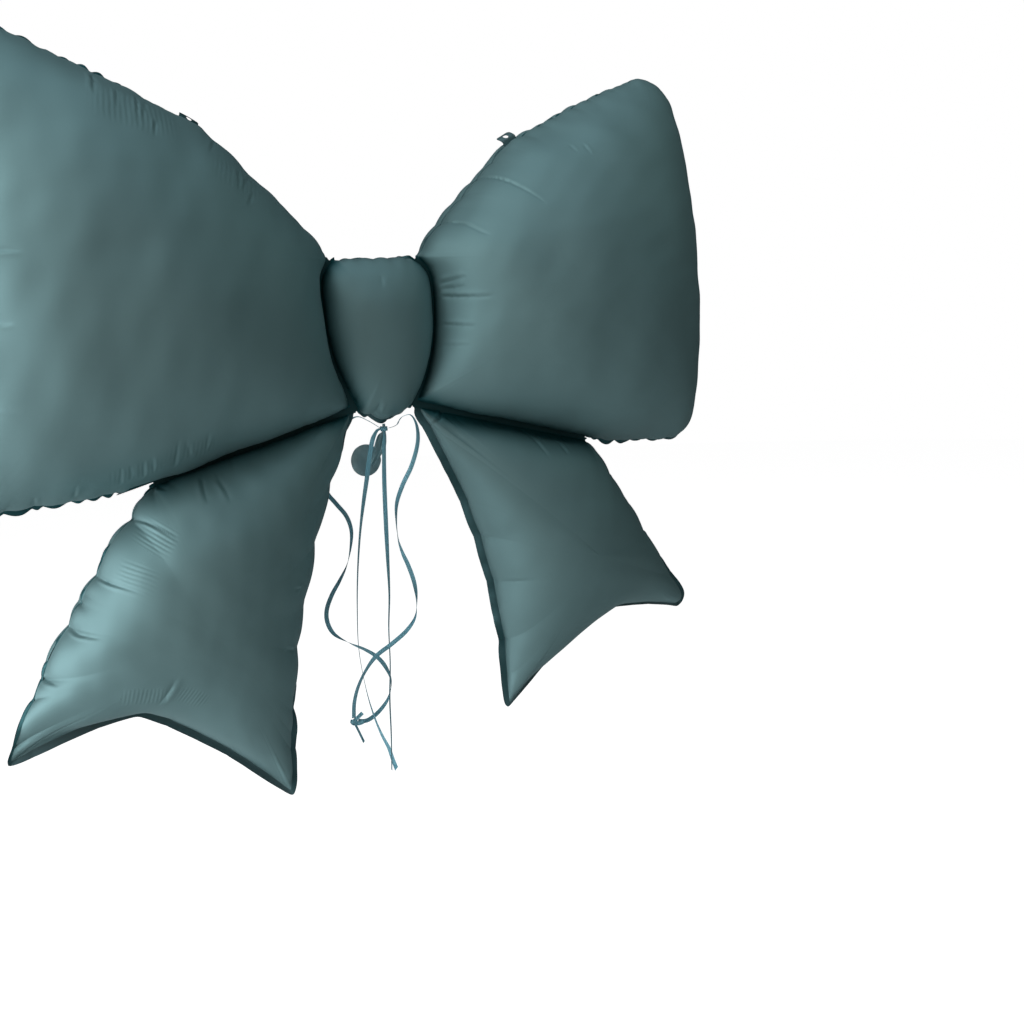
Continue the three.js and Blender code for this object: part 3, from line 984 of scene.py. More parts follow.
    def mark_ridges(self, sheet: bpy.types.Object, face: Face) -> None:
        """Writes where the sheet has bands of fine ridges, and how far across each band a point is."""
        points = vertex_points(sheet)
        flat = np.stack([points[:, 0] * self.side, points[:, 2]], axis=-1)
        mask, phase = np.zeros(len(flat)), np.zeros(len(flat))
        for band in self.ridges.get(face, ()):
            along = unit(np.array(band.along))
            offset = flat - np.array(band.centre)
            length = np.abs(offset @ along) / (band.length / 2)
            across = offset @ left_of(along)
            inside = np.clip(self.RIDGE_LENGTH_FADE - length, 0, 1)
            inside *= np.clip(self.RIDGE_WIDTH_FADE - np.abs(across) / (band.width / 2), 0, 1)
            inside = np.clip(2 * inside, 0, 1)
            phase = np.where(inside > 0, across / band.pitch * 2 * math.pi, phase)
            mask = np.maximum(mask, inside * band.strength)
        set_attribute(sheet, "ridge_mask", mask)
        set_attribute(sheet, "ridge_phase", phase)


def ring_faces(inner: int, outer: int, columns: int, wide: int, fine: int) -> list[tuple[int, ...]]:
    """The faces between two rings of vertices.

    Args:
        inner: the first vertex of the inner ring.
        outer: the first vertex of the outer ring.
        columns: the columns of the full grid.
        wide: the inner ring's stride.
        fine: the outer ring's stride, the same or half.

    Returns:
        The faces, all turned the same way.
    """
    inner_count, outer_count = columns // wide, columns // fine
    faces: list[tuple[int, ...]] = []
    for i in range(inner_count):
        a, b = inner + i, inner + (i + 1) % inner_count
        if wide == fine:
            faces.append((a, outer + i, outer + (i + 1) % outer_count, b))
            continue
        c, d, e = (outer + (2 * i + k) % outer_count for k in range(3))
        faces += [(a, c, d), (a, d, b), (b, d, e)]
    return faces


def new_object(name: str, points: Array, faces: Sequence[Sequence[int]]) -> bpy.types.Object:
    """A smooth-shaded mesh object in the scene."""
    mesh = bpy.data.meshes.new(name)
    mesh.from_pydata([tuple(p) for p in points.tolist()], [], faces)
    mesh.validate()
    mesh.polygons.foreach_set("use_smooth", [True] * len(mesh.polygons))
    made = bpy.data.objects.new(name, mesh)
    bpy.context.scene.collection.objects.link(made)
    return made


def vertex_points(piece: bpy.types.Object) -> Array:
    """The piece's vertices as rows of x, y, z."""
    flat = np.empty(len(piece.data.vertices) * 3)
    piece.data.vertices.foreach_get("co", flat)
    return flat.reshape(-1, 3)


def set_attribute(piece: bpy.types.Object, name: str, values: Array) -> None:
    """Writes one number for each vertex of the piece."""
    attribute = piece.data.attributes.new(name, "FLOAT", "POINT")
    attribute.data.foreach_set("value", np.asarray(values, np.float32))


def dress(piece: bpy.types.Object, body: str, slot: str, *materials: bpy.types.Material) -> None:
    """Gives a piece its materials and the body that it moves with."""
    for material in materials:
        piece.data.materials.append(material)
    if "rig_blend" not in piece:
        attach(piece, body)
    triangles = sum(len(face.vertices) - 2 for face in piece.data.polygons)
    LOG.info("%s: %d triangles on %s", piece.name, triangles, body)


class Shader:
    """A node tree that is being filled: nodes by kind, links by socket."""

    def __init__(self, tree: bpy.types.NodeTree) -> None:
        """Starts from an existing tree."""
        self.tree = tree

    def node(self, kind: str, **values: object) -> bpy.types.Node:
        """A new node with its properties set."""
        made = self.tree.nodes.new(kind)
        for key, value in values.items():
            setattr(made, key, value)
        return made

    def link(self, source: bpy.types.NodeSocket, target: bpy.types.NodeSocket) -> None:
        """Joins two sockets."""
        self.tree.links.new(source, target)

    def math(self, operation: str, a: object, b: object = None) -> bpy.types.NodeSocket:
        """The result of a sum on sockets or plain numbers."""
        made = self.node("ShaderNodeMath", operation=operation)
        for socket, value in zip(made.inputs, (a, b)):
            if isinstance(value, bpy.types.NodeSocket):
                self.link(value, socket)
            elif value is not None:
                socket.default_value = value
        return made.outputs[0]

    def noise(self, place: bpy.types.NodeSocket, scale: object, detail: float = 2.0) -> bpy.types.NodeSocket:
        """A noise value from 0 to 1."""
        made = self.node("ShaderNodeTexNoise")
        made.inputs["Detail"].default_value = detail
        self.link(place, made.inputs["Vector"])
        if isinstance(scale, bpy.types.NodeSocket):
            self.link(scale, made.inputs["Scale"])
        else:
            made.inputs["Scale"].default_value = scale
        return made.outputs["Fac"]

    def attribute(self, name: str) -> bpy.types.NodeSocket:
        """A number written on the vertices."""
        return self.node("ShaderNodeAttribute", attribute_name=name).outputs["Fac"]

    def group(self, tree: bpy.types.NodeTree, **values: float) -> bpy.types.Node:
        """A placed node group with its own values; an input's name has _ for its space."""
        made = self.node("ShaderNodeGroup", node_tree=tree)
        for name, value in values.items():
            made.inputs[name.replace("_", " ")].default_value = value
        return made

    def blend(self, factor: bpy.types.NodeSocket, first: object, second: object) -> bpy.types.NodeSocket:
        """A mix of two colours, each a socket or a plain colour."""
        made = self.node("ShaderNodeMix", data_type="RGBA")
        self.link(factor, made.inputs["Factor"])
        for name, value in (("A", first), ("B", second)):
            if isinstance(value, bpy.types.NodeSocket):
                self.link(value, made.inputs[name])
            else:
                made.inputs[name].default_value = value
        return made.outputs["Result"]

    def bump(self, height: bpy.types.NodeSocket, distance: float, strength: float) -> bpy.types.NodeSocket:
        """A normal bent by a height."""
        made = self.node("ShaderNodeBump")
        made.inputs["Distance"].default_value = distance
        made.inputs["Strength"].default_value = strength
        self.link(height, made.inputs["Height"])
        return made.outputs["Normal"]


def effect(
    name: str, inputs: dict[str, float], fill: Callable[[Shader, dict, dict], None], outputs: Sequence[str]
) -> bpy.types.NodeTree:
    """A shader node group, built once.

    Args:
        name: the group's name.
        inputs: each input's name and first value.
        fill: makes the inside from the group's inputs and outputs by name.
        outputs: the names of its outputs, all plain values.

    Returns:
        The group's tree.
    """
    known = bpy.data.node_groups.get(name)
    if known:
        return known
    tree = bpy.data.node_groups.new(name, "ShaderNodeTree")
    for label, value in inputs.items():
        socket = tree.interface.new_socket(label, in_out="INPUT", socket_type="NodeSocketFloat")
        socket.default_value = value
    for label in outputs:
        tree.interface.new_socket(label, in_out="OUTPUT", socket_type="NodeSocketFloat")
    shader = Shader(tree)
    start, end = shader.node("NodeGroupInput"), shader.node("NodeGroupOutput")
    fill(shader, start.outputs, end.inputs)
    return tree


# How far ripples are drawn out along Z, and how much noise bends the ridges
RIPPLE_STRETCH = 0.22
RIDGE_WOBBLE = 9.0


def fill_mottle(shader: Shader, start: dict, end: dict) -> None:
    """A soft cloudiness and a fine grain."""
    place = shader.node("ShaderNodeTexCoord").outputs["Object"]
    cloud = shader.noise(place, start["Cloud scale"], 3.0)
    grain = shader.noise(place, start["Grain scale"], 1.0)
    shader.link(cloud, end["Cloud"])
    shader.link(grain, end["Grain"])


def fill_ripple(shader: Shader, start: dict, end: dict) -> None:
    """The height of a film's faint slow ripples and its pressed-in creases."""
    place = shader.node("ShaderNodeTexCoord").outputs["Object"]
    slow = shader.noise(place, start["Slow scale"], 2.0)
    stretch = shader.node("ShaderNodeMapping")
    shader.link(place, stretch.inputs["Vector"])
    stretch.inputs["Scale"].default_value = (1.0, 1.0, RIPPLE_STRETCH)
    quick = shader.noise(stretch.outputs["Vector"], start["Quick scale"], 3.0)
    slow = shader.math("MULTIPLY", slow, start["Slow height"])
    quick = shader.math("MULTIPLY", quick, start["Quick height"])
    shader.link(shader.math("ADD", slow, quick), end["Height"])


def fill_ridges(shader: Shader, start: dict, end: dict) -> None:
    """The height of fine ridges side by side, where the mask is."""
    wobble = shader.noise(shader.node("ShaderNodeTexCoord").outputs["Object"], start["Wobble scale"], 1.0)
    phase = shader.math("ADD", start["Phase"], shader.math("MULTIPLY", wobble, RIDGE_WOBBLE))
    wave = shader.math("SINE", phase)
    rounded = shader.math("MULTIPLY", wave, start["Mask"])
    shader.link(shader.math("MULTIPLY", rounded, start["Height"]), end["Height"])


def mottle_group() -> bpy.types.NodeTree:
    """The node group of cloud and grain."""
    inputs = {"Cloud scale": 6.0, "Grain scale": 400.0}
    return effect("film_mottle", inputs, fill_mottle, ("Cloud", "Grain"))


def ripple_group() -> bpy.types.NodeTree:
    """The node group of ripples."""
    inputs = {"Slow scale": 18.0, "Slow height": 1.0, "Quick scale": 90.0, "Quick height": 0.2}
    return effect("film_ripple", inputs, fill_ripple, ("Height",))


def ridge_group() -> bpy.types.NodeTree:
    """The node group of parallel ridges."""
    inputs = {"Phase": 0.0, "Mask": 0.0, "Height": 1.0, "Wobble scale": 22.0}
    return effect("parallel_ridges", inputs, fill_ridges, ("Height",))


def srgb(red: int, green: int, blue: int) -> Colour:
    """A colour given as it is seen on screen, in linear light."""
    shares = (red / 255, green / 255, blue / 255)
    linear = [v / 12.92 if v <= 0.04045 else ((v + 0.055) / 1.055) ** 2.4 for v in shares]
    return (*linear, 1.0)


def started_material(name: str) -> tuple[bpy.types.Material, Shader, bpy.types.Node]:
    """A new material, its nodes to fill in and its surface shader."""
    made = bpy.data.materials.new(name)
    made.use_nodes = True
    return made, Shader(made.node_tree), made.node_tree.nodes["Principled BSDF"]


@dataclass(frozen=True)
class SatinFilm:
    """Metallised film with a satin face."""

    name: str
    colour: Colour
    deep: Colour
    roughness: float
    metallic: float
    ripple: float
    seam_tone: float
    # The colour of the painted shade in deep welds and on shaded margins
    shadow: Colour = srgb(22, 92, 98)
    cloud_share: float = 0.35
    grain_roughness: float = 0.06
    ridge_height: float = 0.10
    relief: float = 0.001

    def material(self) -> bpy.types.Material:
        """The film's material, built once."""
        known = bpy.data.materials.get(self.name)
        if known:
            return known
        made, shader, surface = started_material(self.name)
        surface.inputs["Metallic"].default_value = self.metallic
        surface.inputs["Specular IOR Level"].default_value = 0.5
        mottle = shader.group(mottle_group(), Cloud_scale=5.0, Grain_scale=900.0)
        tone = shader.math("MULTIPLY", mottle.outputs["Cloud"], self.cloud_share)
        # Darker towards the seam: painted shade where the film curves down into it, the doubled film's own
        # tone on the margin
        seam = shader.math("MULTIPLY", shader.attribute("seam"), self.seam_tone)
        tone = shader.math("MAXIMUM", tone, seam)
        colour = shader.blend(tone, self.colour, self.deep)
        # Painted shade: drawn towards the shadow colour along deep welds and on shaded margins
        colour = shader.blend(shader.attribute("painted_shade"), colour, self.shadow)
        shader.link(colour, surface.inputs["Base Color"])
        rough = shader.math("MULTIPLY", mottle.outputs["Grain"], self.grain_roughness)
        even = self.roughness - self.grain_roughness / 2
        shader.link(shader.math("ADD", rough, even), surface.inputs["Roughness"])
        ripple = shader.group(ripple_group(), Slow_scale=16.0, Quick_scale=70.0)
        ridges = shader.group(ridge_group(), Height=self.ridge_height)
        shader.link(shader.attribute("ridge_phase"), ridges.inputs["Phase"])
        shader.link(shader.attribute("ridge_mask"), ridges.inputs["Mask"])
        height = shader.math("MULTIPLY", ripple.outputs["Height"], self.ripple)
        height = shader.math("ADD", height, ridges.outputs["Height"])
        shader.link(shader.bump(height, self.relief, 1.0), surface.inputs["Normal"])
        return made


@dataclass(frozen=True)
class RibbonSheen:
    """Curling ribbon: smooth plastic with fine lines along it and a soft shine."""

    name: str
    colour: Colour
    light: Colour
    roughness: float
    metallic: float = 0.15
    sheen: float = 0.25
    line_count: float = 60.0
    line_tone: float = 0.10
    relief: float = 0.0001
    relief_strength: float = 0.4

    def material(self) -> bpy.types.Material:
        """The ribbon's material, built once."""
        known = bpy.data.materials.get(self.name)
        if known:
            return known
        made, shader, surface = started_material(self.name)
        surface.inputs["Metallic"].default_value = self.metallic
        surface.inputs["Sheen Weight"].default_value = self.sheen
        surface.inputs["Roughness"].default_value = self.roughness
        across = shader.attribute("across")
        lines = shader.math("SINE", shader.math("MULTIPLY", across, self.line_count))
        mottle = shader.group(mottle_group(), Cloud_scale=30.0)
        tone = shader.math("ADD", shader.math("MULTIPLY", lines, self.line_tone), mottle.outputs["Cloud"])
        shader.link(shader.blend(tone, self.colour, self.light), surface.inputs["Base Color"])
        shader.link(shader.bump(lines, self.relief, self.relief_strength), surface.inputs["Normal"])
        return made


FOIL = SatinFilm("satin_film", srgb(130, 165, 168), srgb(110, 145, 148), 0.58, 0.55, 0.30, 0.4)
SEAM = SatinFilm("welded_film", srgb(96, 124, 128), srgb(80, 104, 108), 0.5, 0.5, 0.4, 0.2)
# A dark copy of the film, painted shade for the welds deep in the valleys between chambers and for the left
# tab's shaded side
SHADOW_FILM = SatinFilm("shadow_film", srgb(40, 84, 88), srgb(26, 66, 70), 0.6, 0.4, 0.4, 0.0)
# A lighter copy of the film for the neck and its disc: painted light where they hang in the knot's shade
NECK_PAINTED_LIGHT = SatinFilm("neck_film", srgb(172, 208, 214), srgb(150, 190, 200), 0.42, 0.5, 0.4, 0.1)
# The ribbon's own blue, drawn lighter as painted light for flat bands that the lamps leave dim
RIBBON = RibbonSheen("curling_ribbon", srgb(104, 180, 206), srgb(160, 220, 232), 0.34)


def loop_cell(cut: SideCut) -> Cell:
    """The outline of a loop, as on the right side."""
    top = [replace(edge, fold=cut.top_fold) if edge.gather is Gather.FULL else edge for edge in LOOP_TOP]
    edge = bowed_line((*top, *cut.loop_low, Edge(*cut.hinge_end, 0.0, 0)))
    weld = straight(cut.hinge_end, HINGE_TOP, 8, cut.loop_hinge)
    return Cell.joined((edge, weld, bowed_line(CREASE).reversed()))


def knot_cell() -> Cell:
    """The outline of the knot."""
    crease = bowed_line(CREASE)
    top = (CREASE[0].x, CREASE[0].z)
    return Cell.joined(
        (
            straight((-top[0], top[1]), top, 4, Gather.SHORT, fold=100),
            crease,
            straight(HINGE_TOP, KNOT_TIP, 2, Gather.SOFT, fold=75),
            straight(KNOT_TIP, (-HINGE_TOP[0], HINGE_TOP[1]), 2, Gather.SOFT, fold=75),
            crease.mirrored(),
        )
    )


def hinge_at(cut: SideCut, distance: float) -> Point2:
    """A point on the weld between loop and tail, so far from its top, or from its outer end if below 0."""
    start, end = np.array(HINGE_TOP), np.array(cut.hinge_end)
    if distance < 0:
        distance += float(np.linalg.norm(end - start))
    x, z = start + unit(end - start) * distance
    return (float(x), float(z))


def tail_cell(cut: SideCut) -> Cell:
    """The outline of a tail, as on the right side."""
    start, stop = hinge_at(cut, HINGE_GAPS[0]), hinge_at(cut, -HINGE_GAPS[1])
    edge = bowed_line((Edge(*stop, *cut.tail_outer), *cut.tail_low, Edge(*start, 0.0, 0)))
    return Cell.joined((straight(start, stop, 7, cut.tail_hinge), edge))


# How finely a stretch of a route is drawn before it is divided evenly
CURVE_STEPS = 24


def curve_points(route: Sequence[Point3], step: float) -> Array:
    """A smooth line through a route's points, about one step apart.

    Args:
        route: the points, in metres.
        step: the distance between the line's points.

    Returns:
        The line's points.
    """
    knots = np.array(route)
    knots = np.vstack([2 * knots[0] - knots[1], knots, 2 * knots[-1] - knots[-2]])
    line = []
    for i in range(1, len(knots) - 2):
        p0, p1, p2, p3 = knots[i - 1 : i + 3]
        t1 = max(np.linalg.norm(p1 - p0) ** 0.5, 1e-6)
        t2 = t1 + max(np.linalg.norm(p2 - p1) ** 0.5, 1e-6)
        t3 = t2 + max(np.linalg.norm(p3 - p2) ** 0.5, 1e-6)
        t = np.linspace(t1, t2, CURVE_STEPS, endpoint=False)[:, None]
        a1 = p0 + (p1 - p0) * t / t1
        a2 = p1 + (p2 - p1) * (t - t1) / (t2 - t1)
        a3 = p2 + (p3 - p2) * (t - t2) / (t3 - t2)
        b1, b2 = a1 + (a2 - a1) * t / t2, a2 + (a3 - a2) * (t - t1) / (t3 - t1)
        line.append(b1 + (b2 - b1) * (t - t1) / (t2 - t1))
    line.append(knots[-2][None])
    dense = np.vstack(line)
    run = np.concatenate([[0.0], np.cumsum(np.linalg.norm(np.diff(dense, axis=0), axis=1))])
    at = np.linspace(0, run[-1], max(3, int(run[-1] / step) + 1))
    return np.stack([np.interp(at, run, dense[:, k]) for k in range(3)], axis=-1)


# Places across a flat band, as shares of half its width
BAND_PLACES = np.array([-1.0, -0.5, 0.0, 0.5, 1.0])
# The direction in which the photograph's camera looks at the bow; ribbons lie flat to it
FACING: Point3 = (0.506, 0.843, -0.183)
# The angle above which an edge of a thin piece is drawn sharp
THIN_SHARP = math.radians(50)
# A wound band: points round it, half its thickness, its cup, and how its unevenness widens and tilts it
RING_STEPS = 40
RING_HALF = 0.00016
RING_CUP = 0.0002
RING_WIDENING = 0.4
RING_TILT = 0.25


def band_corners(half: float, cup: float, thinning: float) -> list[Point2]:
    """The corners of a band's cross-section.

    Args:
        half: half the band's thickness.
        cup: how far its middle stands off its edges.
        thinning: how much thinner it is at its edges, as a share.

    Returns:
        Each corner's place across and height, all round.
    """
    rise = cup * (1 - BAND_PLACES**2)
    upper = [(u, r + half * (1 - thinning * abs(u))) for u, r in zip(BAND_PLACES, rise)]
    lower = [(u, r - half * (1 - thinning * abs(u))) for u, r in zip(BAND_PLACES[::-1], rise[::-1])]
    return upper + lower


def swept_band(line: Array, across: Array, normal: Array, widths: Array, corners: list[Point2]) -> Array:
    """A band's corners carried along its line, as points by corners by x, y, z."""
    return np.stack([line + across * (u * widths / 2) + normal * h for u, h in corners], axis=1)


def band_sections(line: Array, across: Array, widths: Array, thickness: float, cup: float) -> Array:
    """The cross-sections of a flat band along a line.

    Args:
        line: the band's centre line.
        across: the band's width direction at each point.
        widths: the band's width at each point.
        thickness: its thickness.
        cup: how far its middle stands off its edges.

    Returns:
        Points by corners by x, y, z, each section turned the same way.
    """
    tangent = unit(np.gradient(line, axis=0))
    across = unit(across - tangent * (across * tangent).sum(axis=1, keepdims=True))
    corners = band_corners(thickness / 2, cup, thinning=0.5)
    return swept_band(line, across, np.cross(tangent, across), widths[:, None], corners)


def band_mesh(sections: Array, closed: bool) -> tuple[Array, list[tuple[int, ...]], Array]:
    """The vertices, faces and place across of a band from its cross-sections.

    Args:
        sections: points by corners by x, y, z.
        closed: whether the last section joins the first.

    Returns:
        The vertices, the faces and each vertex's place across, from -1 to 1.
    """
    rows, columns = sections.shape[:2]
    faces: list[tuple[int, ...]] = []
    for i in range(rows if closed else rows - 1):
        a, b = i * columns, (i + 1) % rows * columns
        for k in range(columns):
            n = (k + 1) % columns
            faces.append((a + k, a + n, b + n, b + k))
    if not closed:
        faces += [tuple(range(columns))[::-1], tuple((rows - 1) * columns + k for k in range(columns))]
    half = np.linspace(-1, 1, columns // 2)
    return sections.reshape(-1, 3), faces, np.tile(np.concatenate([half, half[::-1]]), rows)


def joined_bands(name: str, bands: Sequence[tuple[Array, bool]]) -> bpy.types.Object:
    """One object made of several bands.

    Args:
        name: the object's name.
        bands: each band's cross-sections, and whether it is a closed ring.

    Returns:
        The object, with each vertex's place across written on it.
    """
    points: list[Array] = []
    faces: list[tuple[int, ...]] = []
    across: list[Array] = []
    count = 0
    for sections, closed in bands:
        vertices, band_faces, places = band_mesh(sections, closed)
        points.append(vertices)
        faces += [tuple(v + count for v in f) for f in band_faces]
        across.append(places)
        count += len(vertices)
    made = new_object(name, np.vstack(points), faces)
    set_attribute(made, "across", np.concatenate(across))
    made.data.set_sharp_from_angle(angle=THIN_SHARP)
    return made


def ring_band(
    centre: Point3, axis: Point3, radii: Point2, width: float, wobble: float, seed: int
) -> tuple[Array, bool]:
    """The cross-sections of a closed band wound round something.

    Args:
        centre: the ring's middle.
        axis: the direction that the ring is wound about.
        radii: the ring's two radii.
        width: the band's width.
        wobble: how uneven it is.
        seed: picks the unevenness.

    Returns:
        The cross-sections, and that the band is closed.
    """
    rng = np.random.default_rng(seed)
    up = unit(np.array(axis, float))
    first = unit(np.cross(up, (0.0, 1.0, 0.1)))
    second = np.cross(up, first)
    angle = np.linspace(0, 2 * math.pi, RING_STEPS, endpoint=False)
    wave = sum(np.sin(k * angle + rng.uniform(0, 6.28)) * wobble / k for k in (1, 2, 3))
    line = (
        np.array(centre)
        + first * (np.cos(angle) * (radii[0] + wave * RING_WIDENING))[:, None]
        + second * (np.sin(angle) * (radii[1] + wave * RING_WIDENING))[:, None]
        + up * wave[:, None]
    )
    tilt = np.sin(angle * 2 + rng.uniform(0, 6.28))[:, None]
    sides = up + RING_TILT * unit(line - np.array(centre)) * tilt
    tangent = unit(np.roll(line, -1, axis=0) - np.roll(line, 1, axis=0))
    across = unit(sides - tangent * (sides * tangent).sum(axis=1, keepdims=True))
    corners = band_corners(RING_HALF, RING_CUP, thinning=0.0)
    return swept_band(line, across, np.cross(tangent, across), width, corners), True


@dataclass
class Ribbon:
    """One free curling ribbon, tied at its upper end.

    Turns are pairs of a share of its length and how far it is turned there, in degrees. Slant is how far
    its cut end is out of square.
    """

    name: str
    route: tuple[Point3, ...]
    turns: tuple[Point2, ...]
    far_end: str
    slant: float = 0.004
    width: float = 0.005
    thickness: float = 0.0003
    cup: float = 0.0003
    step: float = 0.002

    # The share of its width at the tie and how fast it widens from there, and the smoothing of its turns
    TIED_WIDTH = 0.45
    WIDENING = 14
    TURN_REACH = 5

    def line(self) -> Array:
        """The ribbon's centre line."""
        return curve_points(self.route, self.step)

    def band(self) -> bpy.types.Object:
        """The ribbon's object: flat, turning as it hangs."""
        line = self.line()
        share = np.linspace(0, 1, len(line))
        shares, degrees = zip(*self.turns)
        turn = np.radians(np.interp(share, shares, degrees))
        window = 2 * self.TURN_REACH + 1
        padded = np.pad(turn, self.TURN_REACH, mode="edge")
        turn = np.convolve(padded, np.ones(window) / window, mode="valid")
        tangent = unit(np.gradient(line, axis=0))
        facing = np.array(FACING)
        flat = unit(facing - tangent * (tangent @ facing)[:, None])
        side = np.cross(tangent, flat)
        across = side * np.cos(turn)[:, None] + flat * np.sin(turn)[:, None]
        widths = self.width * np.clip(self.TIED_WIDTH + share * self.WIDENING, 0, 1)
        sections = band_sections(line, across, widths, self.thickness, self.cup)
        places = np.concatenate([BAND_PLACES, BAND_PLACES[::-1]])
        for row, pull in ((-1, 1.0), (-2, 0.5)):
            sections[row] += tangent[-1] * (places * self.slant / 2 * pull)[:, None]
        return joined_bands(self.name, [(sections, False)])


RIBBONS = (
    Ribbon(
        "straight_ribbon",
        (
            (-0.0045, -0.0038, -0.1123), (-0.008, -0.008, -0.127), (-0.012, -0.010, -0.166),
            (-0.015, -0.012, -0.211), (-0.017, -0.013, -0.257), (-0.019, -0.014, -0.298),
            (-0.023, -0.014, -0.336), (-0.025, -0.014, -0.380), (-0.029, -0.014, -0.420),
            (-0.031, -0.014, -0.465), (-0.034, -0.014, -0.508),
        ),
        ((0.0, 40), (0.1, 30), (0.22, 5), (0.34, 40), (0.45, 72), (0.6, 84), (0.8, 78), (1.0, 84)),
        "bare",
    ),
    Ribbon(
        "curled_ribbon",
        (
            (-0.0084, -0.002, -0.1095), (-0.012, -0.003, -0.110), (-0.020, -0.007, -0.118),
            (-0.028, -0.009, -0.142), (-0.032, -0.008, -0.162), (-0.037, -0.006, -0.186),
            (-0.043, -0.003, -0.220), (-0.049, 0.0, -0.266), (-0.053, 0.002, -0.312),
            (-0.055, 0.003, -0.360), (-0.051, 0.001, -0.409), (-0.045, -0.003, -0.444),
            (-0.037, -0.001, -0.468), (-0.029, 0.001, -0.487), (-0.025, 0.002, -0.502),
            (-0.021, 0.002, -0.516),
        ),
        (
            (0.0, 20), (0.1, 0), (0.17, 30), (0.27, 68), (0.38, 80), (0.7, 100), (0.84, 128), (0.93, 160),
            (1.0, 180),
        ),
        "bare",
    ),
    Ribbon(
        "right_ribbon",
        (
            (0.0024, -0.001, -0.1095), (0.006, -0.0015, -0.109), (0.009, -0.009, -0.106),
            (0.008, -0.018, -0.101), (0.008, -0.028, -0.096), (0.014, -0.036, -0.094),
            (0.018, -0.040, -0.103), (0.019, -0.040, -0.122), (0.011, -0.036, -0.150),
            (0.0, -0.032, -0.171), (-0.007, -0.028, -0.191), (-0.008, -0.025, -0.211),
            (-0.006, -0.022, -0.234), (-0.001, -0.020, -0.251), (0.005, -0.019, -0.266),
            (0.011, -0.019, -0.288), (0.012, -0.020, -0.309), (0.008, -0.021, -0.328),
            (-0.004, -0.022, -0.341), (-0.024, -0.022, -0.353), (-0.044, -0.020, -0.364),
            (-0.057, -0.014, -0.382), (-0.065, -0.009, -0.400), (-0.069, -0.004, -0.419),
            (-0.070, -0.001, -0.4375),
        ),
        (
            (0.0, 84), (0.10, 82), (0.15, 45), (0.28, 5), (0.34, 40), (0.385, 78), (0.42, 90),
            (0.46, 125), (0.52, 178), (0.58, 200), (0.61, 255), (0.64, 272), (0.67, 310), (0.72, 352),
            (0.8, 365), (0.86, 420), (0.93, 405), (1.0, 395),
        ),
        "knot",
        slant=0.0,
    ),
    Ribbon(
        "left_ribbon",
        (
            (-0.003, 0.0054, -0.1095), (-0.0035, 0.009, -0.109), (-0.012, 0.021, -0.101),
            (-0.020, 0.032, -0.096), (-0.026, 0.044, -0.101), (-0.036, 0.050, -0.118),
            (-0.050, 0.050, -0.144), (-0.060, 0.046, -0.166), (-0.062, 0.041, -0.179),
            (-0.054, 0.036, -0.193), (-0.045, 0.031, -0.208), (-0.042, 0.027, -0.224),
            (-0.046, 0.023, -0.243), (-0.054, 0.020, -0.263), (-0.065, 0.017, -0.278),
            (-0.077, 0.015, -0.293), (-0.085, 0.014, -0.309), (-0.086, 0.013, -0.322),
            (-0.080, 0.013, -0.337), (-0.061, 0.014, -0.353), (-0.043, 0.014, -0.365),
            (-0.029, 0.014, -0.377), (-0.019, 0.014, -0.392), (-0.014, 0.013, -0.411),
            (-0.020, 0.012, -0.430), (-0.032, 0.010, -0.441), (-0.046, 0.007, -0.447),
            (-0.056, 0.002, -0.446), (-0.0645, 0.0, -0.443),
        ),
        (
            (0.0, 86), (0.09, 84), (0.16, 45), (0.33, 5), (0.4, 50), (0.46, 95), (0.5, 140),
            (0.56, 178), (0.62, 190), (0.655, 245), (0.68, 270), (0.71, 310), (0.77, 345), (0.8, 370),
            (0.83, 430), (0.87, 450), (0.9, 500), (0.95, 530), (1.0, 540),
        ),
        "knot",
        slant=0.0,
    ),
)


@dataclass
class RibbonKnot:
    """The small knot in which two ribbons end, with its three short ends."""

    centre: Point3 = (-0.070, 0.0, -0.443)
    thickness: float = 0.0003
    cup: float = 0.0004
    step: float = 0.0012

    def pieces(self) -> bpy.types.Object:
        """The knot's windings and short ends as one object."""
        x, y, z = self.centre
        bands = [
            ring_band((x, y, z), (0.35, 0.1, 0.95), (0.0040, 0.0030), 0.0042, 0.0006, 3),
            ring_band((x - 0.0005, y - 0.0005, z), (0.9, 0.2, 0.35), (0.0032, 0.0028), 0.0040, 0.0006, 4),
            ring_band((x + 0.0008, y, z - 0.001), (0.6, 0.6, -0.5), (0.0026, 0.0034), 0.0036, 0.0005, 5),
        ]
        ends = (
            ((x, y, z + 0.001), (x + 0.005, y - 0.003, z + 0.006), (x + 0.010, y - 0.004, z + 0.010)),
            ((x, y, z - 0.001), (x + 0.005, y - 0.003, z - 0.002), (x + 0.010, y - 0.004, z - 0.001)),
            ((x + 0.001, y, z - 0.002), (x + 0.004, y - 0.003, z - 0.012), (x + 0.009, y - 0.003, z - 0.026)),
        )
        for end, turn, width in zip(ends, (0.2, 0.1, 1.1), (0.0044, 0.0046, 0.0040)):
            line = curve_points(end, self.step)
            tangent = unit(np.gradient(line, axis=0))
            across = np.cross(tangent, FACING) * math.cos(turn) + np.array(FACING) * math.sin(turn)
            widths = np.full(len(line), width)
            bands.append((band_sections(line, across, widths, self.thickness, self.cup), False))
        return joined_bands("ribbon_knot_windings", bands)


